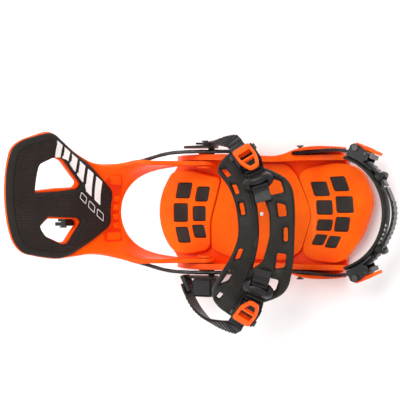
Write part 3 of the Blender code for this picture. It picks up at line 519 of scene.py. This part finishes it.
def cushion(outline, low, high, holes, cell, margin, least, swell):
    """A flat pattern whose top rises from a thin margin at its edges to a gently crowned middle."""
    made = plate(outline, low, high, holes)
    for axis in (0, 1):
        slice_up(made, axis, cell)
    bm = bmesh_of(made)
    bmesh.ops.triangulate(bm, faces=bm.faces)
    bm.verts.ensure_lookup_table()
    places = [(v.co.x / MM, v.co.y / MM) for v in bm.verts]
    away = edge_distances(places, (outline, *holes))
    for vertex, distance in zip(bm.verts, away):
        if vertex.co.z / MM > low + 0.01:
            t = min(1.0, distance / margin)
            rise = least + (1 - least) * math.sin(t * math.pi / 2)
            crown = swell * (1 - math.exp(-max(0.0, distance - margin) / 9.0))
            vertex.co.z = (low + (high - swell - low) * rise + crown) * MM
    return replace_mesh(made, bm)


# ---------------------------------------------------------------- base


def floor_outline():
    reach = math.degrees(math.asin(HEEL_HALF / HEEL_RADIUS))
    heel = arc(HEEL_X + HEEL_RADIUS, 0, HEEL_RADIUS, 180, 180 - reach, 5)
    side = [(-98, WALL_OUT), (-60, WALL_OUT + 0.5), (-30, WALL_OUT + 0.5), (20, WAIST_OUT + 0.5), (34, 60),
            (48, SLOT_OUT), (BASE_FRONT_X, SLOT_OUT)]
    return heel + side


def wall_outline():
    outer = [(-98, WALL_OUT - 1), (-60, WALL_OUT), (-30, WALL_OUT), (0, 58.6), (20, WAIST_OUT), (34, 59.5)]
    guard = [(47, 64.4), (62, FLARE_OUT), (78, FLARE_OUT + 0.3), (94, 66.3), (94, 64.4)]
    slot = [(62, 63.4), (47, 62.4), (43.4, 61.9), (43.4, 58.2), (98, 58.2)]
    inner = [(98, 53), (50, 53), (20, WAIST_IN), (0, 53), (-30, WALL_IN), (-98, WALL_IN)]
    return outer + guard + slot + inner


def chassis_profile():
    crown = [(-64, 41), (-40, 41), (-22, 33), (10, 27), (40, 29), (70, 31), (90, 27), (100, 16)]
    return [(-130, 2), (-130, 12), (-99, 12), (-97, 22), (-80, 38), *crown, (110, 2)]


def make_chassis():
    half = floor_outline()
    floor = plate(rounded(half + mirrored(half)[:-1], 14, 4), FLOOR_LOW, FLOOR_TOP)
    wall = rounded(wall_outline(), 7, 4)
    walls = [plate(outline, FLOOR_LOW + 2, 50) for outline in (wall, mirrored(wall))]
    chassis = union(floor, *walls)
    profile = chassis_profile()
    profile = [profile[0]] + rounded(profile[1:], 9, 5) + [profile[-1]]
    profile = [p for p in profile if p[1] >= 2]
    chassis = combine(chassis, side_plate(profile, -THROUGH, THROUGH), "INTERSECT")
    opening = plate(arc(0, 0, DISC_RADIUS + 0.8, 0, 360, 72)[:-1], 0, 20)
    ledge = plate(arc(0, 0, DISC_FLANGE_RADIUS + 0.8, 0, 360, 72)[:-1], DISC_LEDGE_Z, 20)
    bores = [rod(radius, -THROUGH, THROUGH, *place) for radius, place in
             ((PIVOT_BORE, HIGHBACK_PIVOT), (3.8, LINK_PIVOT), (3.3, CABLE_ANCHOR), (2.3, TOE_PIVOT))]
    chassis = soften(cut(chassis, opening, ledge, *bores), 0.7, 2)
    even_normals(finish_piece(chassis, "chassis", "orange_nylon", "base", ["base_chassis"]))


def tread_block(x, y, length, width, lean):
    """A four-sided block centred at x and y whose sides slant more the further it is from the middle line."""
    half, wide, slant = length / 2, width / 2, lean * y
    front = [(x + half - slant, y + wide), (x + half + slant, y - wide)]
    return front + [(x - half + slant, y - wide), (x - half - slant, y + wide)]


def heel_windows():
    """Two columns of three blocks."""
    rear = [(-93, 23, 16, 15), (-97, -1, 16, 18), (-94, -25, 14, 15)]
    front = [(-70, 19, 14, 14), (-74, -2, 14, 14), (-74, -21, 13, 12)]
    return [tread_block(*place, -0.08) for place in rear + front]


def toe_windows():
    """Two columns of four blocks."""
    rear = [(69, 24, 17, 13), (74, 5, 17, 13), (74, -13, 16, 10), (68, -28, 12, 9)]
    front = [(92, 29, 16, 13), (98, 8, 18, 15), (95, -12, 15, 13), (84, -30, 12, 10)]
    return [tread_block(*place, 0.1) for place in rear + front]


def ramp_height(x, over):
    """Top of the toe ramp at x, plus over."""
    return COVER_TOP + 1 + max(0.0, x - 60) * math.tan(RAMP_SLOPE) + over


def onto_ramp(x, y, n):
    return Vector((x, y, ramp_height(x, n)))


def lug(window, surface, low, top, name, body, number, replaced):
    """One tread block, crowned a little, with rounded edges."""
    outline = rounded(shrunk(window, 0.6 - TREAD_GROWTH), 2.4, 5)
    block = cushion(outline, low, top, (), 2.0, 1.3, 0.72, 0.35)
    if surface:
        wrap(block, surface)
    finish_piece(block, f"{name}_{number}", "tread_rubber", body, [replaced])


def make_treads():
    for number, window in enumerate(heel_windows()):
        lug(window, None, FLOOR_TOP + 2, FOOTBED_TOP + 0.7, "heel_lug", "base", number, "heel_grip_pad")
    for number, window in enumerate(toe_windows()):
        lug(window, onto_ramp, -2.5, 0.9, "toe_lug", "toe_ramp", number, "toe_grip_pad")


def make_heel_footbed():
    heel = arc(HEEL_X + HEEL_RADIUS, 0, HEEL_RADIUS - 0.5, 136, 224, 16)
    front = [(-88, -47), (-61, -41), (-61.5, -11), (-49, 33), (-51, 37), (-88, 46)]
    outline = rounded([heel[0], *heel[1:-1:3], heel[-1], *front], 9, 5)
    sheet = rounded([(-108, -14), (-106, 24), (-98, 36), (-58, 32), (-64, -32), (-98, -38)], 6, 2)
    block = soften(plate(outline, FLOOR_TOP + GAP, FOOTBED_TOP), 2.2, 4)
    windows = [plate(rounded(shrunk(w, -TREAD_GROWTH), 2.6, 5), 9, 30) for w in heel_windows()]
    block = cut(block, plate(sheet, FLOOR_TOP - 1, 10.5), *windows)
    block = soften(block, 0.5, 2, 60)
    finish_piece(block, "heel_bed", "orange_footbed", "base", ["heel_footbed"])
    even_normals(block)


def make_disc_cover():
    front = [(30, -50), (46, -40), (57.4, -5), (54.8, 8), (42, 37), (30, 50)]
    rear = [(-30, 50), (-50, 38), (-48, 33), (-60.6, -11), (-60, -40), (-32, -50)]
    hole = arc(0, -2, 2.6, 0, 360, 32)[:-1]
    cover = soften(plate(rounded(front + rear, 7, 6), FLOOR_TOP + 0.5, COVER_TOP, [hole]), 1.1, 3)
    finish_piece(cover, "cover_plate", "orange_footbed", "base", ["disc_cover"])
    even_normals(cover)
    # Painted light: the hole in the cover is real, and the white disc set in it stands in for the bright
    # floor seen through the hole.
    plug = soften(plate(arc(0, -2, 2.4, 0, 360, 32)[:-1], FLOOR_TOP + 0.6, COVER_TOP - 0.3), 0.7, 3)
    finish_piece(plug, "cover_hole_light", "hole_light_white", "base")


def ramp_outline():
    """Straight flanks and a blunt nose that leans to the inner side."""
    nose = [(90, 51), (117, 44), (131, 12), (119, -22), (94, -52)]
    rear = [(58, -49), (47, -40.5), (58.2, -5), (55.6, 8), (42.8, 38), (52, 45)]
    return nose + rear


def make_toe_ramp():
    block = plate(rounded(ramp_outline(), 12, 5), FLOOR_TOP + GAP, 40)
    rise = math.tan(RAMP_SLOPE)
    keep = [(40, 0), (97, 0), (98, 11), (140, 17), (140, COVER_TOP + 1 + 80 * rise)]
    keep += [(68, ramp_height(68, 0)), (64, ramp_height(64, 0.05)), (60, ramp_height(60, 0.15))]
    keep += [(54, COVER_TOP + 0.8), (40, COVER_TOP)]
    block = soften(combine(block, side_plate(keep, -60, 60), "INTERSECT"), 2.4, 4)
    sheet = rounded([(60, -36), (60, 34), (94, 42), (112, 28), (112, -8), (86, -41)], 5, 2)
    under = [(40, 0), (140, 0), (140, 10.5 + 80 * rise), (60, 10.5), (40, 10.5)]
    pocket = combine(plate(sheet, -5, 50), side_plate(under, -60, 60), "INTERSECT")
    windows = [plate(rounded(shrunk(w, -TREAD_GROWTH), 2.6, 5), 9, 50) for w in toe_windows()]
    block = soften(cut(block, pocket, *windows), 0.5, 2, 60)
    even_normals(finish_piece(block, "ramp", "orange_footbed", "toe_ramp", ["toe_ramp"]))


# ---------------------------------------------------------------- highback


def shell_outline():
    end = HIGHBACK_PIVOT[1]
    pivot_u = HEEL_WRAP * (WRAP_END - 1) + HIGHBACK_PIVOT[0] - back_at(end)
    left_arm = arc(pivot_u, end, 11, -110, 75, 12)
    left = [(96, 56), (76, 84), (57, 92), (52, 112), (53, 128), (63, 158), (78, 190), (85, 206), (85, 216),
            (80, 228), (74, 243), (65, 251), (47, 248)]
    top = [(20, 242.5), (-14, 237), (-30, 233), (-40, 224)]
    right = [(-45, 200), (-48, 178), (-46, 150), (-44, 125), (-48, 104), (-57, 90), (-76, 82), (-96, 56)]
    right_arm = arc(-pivot_u, end, 11, 105, 290, 12)
    arch = [(-88, 22), (-70, 30), (-60, 46), (-46, 60), (-25, 67), (0, 69), (25, 67), (46, 60), (60, 46),
            (70, 30), (88, 22)]
    return rounded(left_arm + left + top + right + right_arm + arch, 12, 4)


def tall_window(grow):
    corners = [(58, 190), (50, 208), (22, 205), (25, 174), (26, 147), (31, 143), (54, 177)]
    return rounded(shrunk(corners, -grow), 3.5, 6)


def short_window(grow):
    corners = [(-6, 184), (-7, 143), (-11, 139), (-30, 162), (-31, 171), (-24, 190), (-15, 197)]
    return rounded(shrunk(corners, -grow), 3, 6)


def pad_outline():
    left = [(24, 90), (54, 138), (62, 158), (78, 190), (86.5, 207), (87, 217), (82, 231), (77, 245)]
    top = [(68, 254), (46, 251), (20, 245.5), (-14, 240), (-31, 236)]
    right = [(-41.5, 227), (-46.5, 200), (-49, 178), (-46, 162), (-31, 124), (-15, 90)]
    return rounded(left + top + right, 9, 5)


def onto_highback(made, cell):
    for axis in (0, 1):
        slice_up(made, axis, cell)
    return wrap(made, highback_surface)


def make_shell():
    shell = soften(plate(shell_outline(), 0, SHELL_THICK, [tall_window(0), short_window(0)]), 1.3, 3)
    shell = cut(onto_highback(shell, 5), rod(PIVOT_BORE, -THROUGH, THROUGH, *HIGHBACK_PIVOT))
    finish_piece(shell, "shell", "orange_nylon", "highback", ["highback_shell"])
    # A thin sheet of deeper orange over the neck, round the ribs: painted shade.
    outer = [(38, 104), (47, 89), (34, 79), (20, 74), (0, 72.5), (-20, 74), (-36, 80), (-34, 104)]
    inner = [(-24, 104), (-16, 88), (22, 88), (30, 104)]
    panel = plate(rounded(outer + inner, 3, 4), SHELL_THICK - 0.5, SHELL_THICK + 0.12)
    finish_piece(onto_highback(panel, 3), "neck_painted_shade", "orange_painted_shade", "highback")
    rib_places = [(-16, 80.5), (-5.5, 79.5), (5.5, 79.5), (16, 80.5)]
    ribs = [[(u - 4, v - 4.5), (u + 4, v - 4.5), (u + 3, v + 4.5), (u - 3, v + 4.5)] for u, v in rib_places]
    ribs.append([(42, 102), (45, 90), (34, 82), (32.5, 96)])
    ribs.append([(-23.5, 97), (-25, 78), (-34, 84), (-32, 101)])
    for number, outline in enumerate(ribs):
        rib = soften(plate(rounded(outline, 1.5, 3), SHELL_THICK - 0.5, SHELL_THICK + 1.3), 0.5, 2)
        finish_piece(onto_highback(rib, 3), f"neck_rib_{number}", "orange_nylon", "highback")


def make_back_pad():
    low, high = SHELL_THICK + 2 * GAP, SHELL_THICK + BACK_PAD_THICK
    holes = [tall_window(3), short_window(3)]
    pad = wrap(cushion(pad_outline(), low, high, holes, 3.0, 4.5, 0.42, 0.5), highback_surface)
    finish_piece(pad, "back_pad", "black_foam", "highback", ["highback_pad"])
    field = plate(inset(pad_outline(), 5.5), high - 0.9, high + 0.25, [tall_window(8), short_window(7.5)])
    finish_piece(onto_highback(field, 3.0), "back_pad_field", "knurled_foam", "highback")


# Three straight lines across the pad, each from its top to its foot, between which the bars are printed
BAR_LINES = [((93, 219), (38, 110)), ((68, 206), (0, 102)), ((60, 206), (-18, 100))]


def bar_outline(row, top, foot, near, far, slant):
    """A bar between two neighbouring lines, from near to far across them."""
    corners = []
    for share, across in ((top + slant, near), (foot + slant, near), (foot, far), (top, far)):
        first, second = (Vector(line[0]).lerp(Vector(line[1]), share) for line in BAR_LINES[row:row + 2])
        corners.append(tuple(first.lerp(second, across)))
    return corners


def print_on_pad(outline, name, holes=()):
    """A raised print on the pad, trimmed clear of the pad's edge and of its windows."""
    low = SHELL_THICK + BACK_PAD_THICK - 1.2
    high = SHELL_THICK + BACK_PAD_THICK + PRINT_RISE
    area = plate(inset(pad_outline(), 3), low - 1, high + 1, [tall_window(5), short_window(5)])
    mark = combine(plate(outline, low, high, holes), area, "INTERSECT")
    finish_piece(onto_highback(mark, 3), name, "white_print", "highback")


def make_stripes():
    """Slanted bars printed across the pad: a solid row, and a thin outlined row beside it."""
    for number in range(6):
        top = 0.09 + 0.145 * number
        outline = bar_outline(0, top, top + 0.095, 0.14, 0.95, 0.03)
        print_on_pad(rounded(outline, 1.2, 3), f"pad_bar_{number}")
    for number in range(3):
        top = 0.58 + 0.13 * number
        outline = rounded(bar_outline(1, top, top + 0.095, 0.3, 0.9, 0.02), 1.5, 3)
        print_on_pad(outline, f"pad_frame_{number}", [inset(outline, 0.7)])


def cable_points():
    x, z = CABLE_ANCHOR
    side = [(x - 9, 63.5, z + 4.5), (-42, 63.5, 38.5), (-66, 63.2, 50), (-86, 61.2, 60.5)]
    rise = [(68, 73), (52, 84), (35, 92.5), (17, 97), (0, 98)]
    return side + [highback_surface(u, v, -3.4) for u, v in rise]


def smooth_line(points, step):
    """Points every step along a Catmull-Rom curve through the given ones."""
    places = [Vector(p) for p in points]
    last = len(places) - 1
    line = []
    for i in range(last):
        a, b, c, d = (places[max(0, min(last, k))] for k in (i - 1, i, i + 1, i + 2))
        count = max(2, round((c - b).length / step))
        for k in range(count):
            t = k / count
            square, cube = 2 * a - 5 * b + 4 * c - d, 3 * b - a - 3 * c + d
            line.append(0.5 * (2 * b + (c - a) * t + square * t * t + cube * t**3))
    return line + [places[-1]]


def make_cable():
    """A twisted cable under a thin coat: six strands wind round it."""
    left = cable_points()
    right = [(x, -y, z) for x, y, z in reversed(left[:-1])]
    line = smooth_line(left + right, 1.6)
    bm = bmesh.new()
    rings, twist, side = [], 0.0, Vector((0, 0, 1))
    for i, point in enumerate(line):
        along = (line[min(i + 1, len(line) - 1)] - line[max(i - 1, 0)]).normalized()
        side = (side - along * side.dot(along)).normalized()
        other = along.cross(side)
        twist += 0.0 if i == 0 else (point - line[i - 1]).length / 14.0 * 2 * math.pi
        ring = []
        for k in range(RING_STEPS):
            turn = 2 * math.pi * k / RING_STEPS
            radius = 1.86 + 0.14 * math.cos(6 * turn + twist)
            outward = side * math.cos(turn) + other * math.sin(turn)
            ring.append(bm.verts.new((point + outward * radius) * MM))
        rings.append(ring)
    for first, second in zip(rings, rings[1:]):
        for k in range(RING_STEPS):
            after = (k + 1) % RING_STEPS
            bm.faces.new((first[k], first[after], second[after], second[k]))
    for ring in (rings[0], rings[-1]):
        bm.faces.new(ring)
    bmesh.ops.recalc_face_normals(bm, faces=bm.faces)
    cable = mesh_object(bm, "cable")
    cable.data.materials.append(MATERIALS["cable"])
    cable.data.shade_smooth()
    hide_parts("heel_cable")
    DONE.add("heel_cable")
    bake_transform(cable)


# ---------------------------------------------------------------- straps


def ankle_outline():
    """Two narrow wings, and a wide middle that bulges forward over the instep."""
    wing = 8.5
    rear = [(-ANKLE_END, -26), (-88, -38), (-50, -37), (0, -25), (40, -25), (96, -28), (ANKLE_END, -16)]
    front = [(ANKLE_END, wing), (72, wing), (44, 34), (0, 29), (-48, 31), (-72, wing), (-ANKLE_END, wing)]
    return rounded(rear + front, 11, 6)


def opening(s, w, length, width, taper=0.0, slope=0.0):
    """A window centred at s and w, its outer end drawn in on the front side by taper."""
    near, far = (s + math.copysign(length / 2, s) * end for end in (-1, 1))
    tip = far - math.copysign(taper, s)
    corners = [(near, -width / 2), (far, -width / 2), (tip, width / 2), (near, width / 2)]
    return [(place, w + across + slope * (place - s)) for place, across in corners]


def ankle_windows():
    """The long middle slot, a row of slits along the rear edge and a row of windows along the front."""
    slot = [(46, -4), (0, -5), (-35, -8), (-26, 0), (0, 5), (20, 6), (44, 2)]
    rear = [opening(86, -20.5, 19, 4.5, 3), opening(57, -20, 17, 4, 3), opening(30, -19, 15, 4),
            opening(-22, -23.5, 15, 4, 3, 0.22), opening(-58, -29.5, 28, 4.5, 12, 0.12),
            opening(-90, -26.5, 14, 4)]
    front = [opening(47, 17.5, 20, 13, 9), opening(23, 19, 13, 8, 3), opening(1, 21, 12, 4)]
    front += [opening(-23, 18, 15, 9, 3), opening(-50, 13, 21, 13, 10)]
    return [rounded(window, 1.9, 5) for window in [slot] + rear + front]


def make_ankle_pad():
    pad = wrap(cushion(ankle_outline(), 0, STRAP_THICK, ankle_windows(), 2.5, 2.6, 0.5, 0.3), ankle_surface)
    finish_piece(pad, "instep_pad", "black_rubber", "ankle_strap", ["ankle_pad"])
    spine_low = [(-66, -16.5), (-40, -14), (-15, -12.8), (10, -11.5), (34, -11.5), (58, -13)]
    spine_high = [(58, -9), (34, -8), (10, -8), (-15, -9.8), (-40, -10.5), (-66, -12)]
    outline = rounded(spine_low + spine_high, 6, 4)
    spine = cushion(outline, STRAP_THICK - 1.2, STRAP_THICK + 0.75, (), 2.5, 1.2, 0.3, 0.1)
    finish_piece(wrap(spine, ankle_surface), "instep_spine", "black_rubber", "ankle_strap")


def make_toe_pad():
    reach = TOE_MEAN * TOE_END
    lower = [(-reach, -11), (-44, -12), (0, -12.5), (44, -12), (reach, -11)]
    upper = [(reach, 10), (44, 11.5), (0, 12), (-44, 11.5), (-reach, 10)]
    outline = rounded(lower + upper, 5, 5)
    pad = wrap(cushion(outline, 0, TOE_THICK, (), 2.5, 2.2, 0.45, 0.2), toe_surface)
    finish_piece(pad, "toe_cap_pad", "black_rubber", "toe_strap", ["toe_pad"])


def frame_matrix(origin, x_axis, z_axis):
    x = Vector(x_axis).normalized()
    y = Vector(z_axis).cross(x).normalized()
    turn = Matrix((x, y, x.cross(y))).transposed().to_4x4()
    turn.translation = Vector(origin) * MM
    return turn


def ankle_place(s):
    point, along, forward, outward = ankle_frame(s)
    place = point + forward * ANKLE_SHIFT + outward * (STRAP_THICK + ANKLE_LIFT)
    return frame_matrix(place, along * -math.copysign(1, s), outward)


def toe_place(turn):
    point, along, _, outward = toe_frame(turn)
    return frame_matrix(point + outward * TOE_THICK, along * -math.copysign(1, turn), outward)


def keeper_dome(half_length, half_width):
    """An oval cap, high in the middle, over the slot that the ladder's tail slides through."""
    circle = arc(0, 0, 1, 0, 360, 48)[:-1]
    oval = [(half_length * x, half_width * y) for x, y in circle]
    cap = cushion(oval, 0.3, 10.6, (), 1.2, half_length, 0.35, 0.1)
    return cut(cap, side_plate([(-20, 1.7), (20, 1.7), (20, 7.7), (-20, 7.7)], -9.4, 9.4))


def make_keepers():
    for side, word in ((1, "left"), (-1, "right")):
        for kind, half, place in (("ankle", (9.5, 15.5), ankle_place(side * ANKLE_KEEPER)),
                                  ("toe", (6.0, 12.5), toe_place(side * TOE_KEEPER))):
            dome = keeper_dome(*half)
            dome.data.transform(place)
            finish_piece(dome, f"{kind}_bridge_{word}", "black_plastic", f"{kind}_strap",
                         [f"{kind}_keeper_{word}"])


def lever_shape(reach):
    """A tapered open frame with cross bars on a round hub."""
    outline = [(-2, -9.6), (reach - 15, -9.6), (reach, -5.0), (reach, 5.0), (reach - 15, 9.6), (-2, 9.6)]
    windows = [rounded([(6.5, -6.8), (6.5, 6.8), (16.5, 6.8), (16.5, -6.8)], 1.4, 3)]
    if reach > 30:
        windows.append(rounded([(19, -6.2), (19, 6.2), (reach - 3.4, 2.9), (reach - 3.4, -2.9)], 1.4, 3))
    handle = soften(plate(rounded(outline, 4, 5), 12.4, 15.4, windows), 0.7, 3)
    hub = cut(rod(4.3, -9.6, 9.6, PIN_X, PIN_Z), rod(2.1, -20, 20, PIN_X, PIN_Z))
    return union(handle, hub)


def make_levers():
    for kind, reach, place, where in (("ankle", 33.0, ankle_place, ANKLE_RATCHET),
                                      ("toe", 25.0, toe_place, TOE_RATCHET)):
        for side, word in ((1, "left"), (-1, "right")):
            lever = lever_shape(reach)
            lever.data.transform(place(side * where))
            body, replaced = f"{kind}_lever_{word}", f"{kind}_ratchet_lever_{word}"
            finish_piece(lever, f"{kind}_catch_{word}", "orange_nylon", body, [replaced])


def make_toe_marks():
    """Short slanted bars printed on the toe strap's right half."""
    for number in range(5):
        s = -13 - 4.2 * number
        outline = rounded([(s, 1.5), (s + 2.4, 1.5), (s + 3.4, 9), (s + 1.0, 9)], 0.5, 2)
        mark = plate(outline, TOE_THICK - 0.6, TOE_THICK + 0.12)
        slice_up(mark, 0, 2)
        wrap(mark, toe_surface)
        finish_piece(mark, f"toe_mark_{number}", "white_print", "toe_strap")


# ---------------------------------------------------------------- the rest of the CAD nodes

SOFTENING = {"lever": 0.7, "frame": 0.45, "ladder": 0.25, "link": 0.7, "housing": 0.8, "saddle": 1.0,
             "disc": 0.5, "sole": 0.7, "eye": 0.5}

REPAINTED = {"highback_pivot": "orange_nylon", "link_bolt": "black_plastic", "ratchet_pin": "dark_steel",
             "pawl": "dark_steel", "toe_anchor": "dark_steel", "ladder_pin": "dark_steel",
             "anchor_bolt": "dark_steel", "cable_eye": "dark_steel", "lever_pin": "dark_steel"}


def refine(name):
    """A finer copy of a hard CAD node: its flat faces merged, its edges rounded and its shading evened."""
    source = frame["nodes"][name]
    mesh = source.data.copy()
    mesh.transform(source.matrix_world)
    obj = bpy.data.objects.new(name + "_fine", mesh)
    bpy.context.scene.collection.objects.link(obj)
    bm = bmesh_of(obj)
    bmesh.ops.remove_doubles(bm, verts=bm.verts, dist=1e-6)
    replace_mesh(obj, bm)
    width = next((size for word, size in SOFTENING.items() if word in name), 0.35)
    obj = soften(obj, width, 3, 30)
    slot = SLOT_OF[name]
    material = next((made for word, made in REPAINTED.items() if word in name), slot)
    even_normals(finish_piece(obj, name + "_fine", material, BODY_OF[name], [name]))


make_chassis()
make_heel_footbed()
make_disc_cover()
make_toe_ramp()
make_treads()
make_shell()
make_back_pad()
make_stripes()
make_cable()
make_ankle_pad()
make_toe_pad()
make_toe_marks()
make_levers()
make_keepers()
for name in sorted(set(frame["nodes"]) - DONE):
    refine(name)


# ---------------------------------------------------------------- floor, light and camera


def make_floor():
    bm = bmesh.new()
    bmesh.ops.create_grid(bm, x_segments=1, y_segments=1, size=6)
    floor = mesh_object(bm, "studio_floor")
    floor.location.z = -0.0005
    material = bpy.data.materials.new("studio_floor")
    material.use_nodes = True
    material.node_tree.nodes["Principled BSDF"].inputs["Base Color"].default_value = (0.93, 0.93, 0.93, 1)
    material.node_tree.nodes["Principled BSDF"].inputs["Roughness"].default_value = 0.9
    floor.data.materials.append(material)


def area_light(name, place, size, power):
    light = bpy.data.lights.new(name, "AREA")
    light.size = size
    light.energy = power
    obj = bpy.data.objects.new(name, light)
    obj.location = place
    obj.rotation_euler = (Vector((0, 0, 0.05)) - Vector(place)).to_track_quat("-Z", "Y").to_euler()
    bpy.context.scene.collection.objects.link(obj)


def make_studio():
    world = bpy.data.worlds.new("studio")
    world.use_nodes = True
    world.node_tree.nodes["Background"].inputs["Color"].default_value = (1, 1, 1, 1)
    world.node_tree.nodes["Background"].inputs["Strength"].default_value = 1.0
    bpy.context.scene.world = world
    bpy.context.scene.view_settings.view_transform = "Standard"
    area_light("key", (0.2, 0.7, 1.5), 0.9, 12)
    area_light("fill", (0.9, -0.8, 1.2), 1.2, 4)
    area_light("back", (-1.0, 0.1, 1.3), 1.0, 4)


def make_camera():
    data = bpy.data.cameras.new("camera")
    data.lens = 120
    data.sensor_width = 36
    camera = bpy.data.objects.new("camera", data)
    right, up, back = Vector((0.8660254, 0, -0.5)), Vector((0, 1, 0)), Vector((0.5, 0, 0.8660254))
    place = Matrix((right, up, back)).transposed().to_4x4()
    place.translation = Vector((0.6436, 0.0126, 1.2550))
    camera.matrix_world = place
    bpy.context.scene.collection.objects.link(camera)
    bpy.context.scene.camera = camera


make_floor()
make_studio()
make_camera()
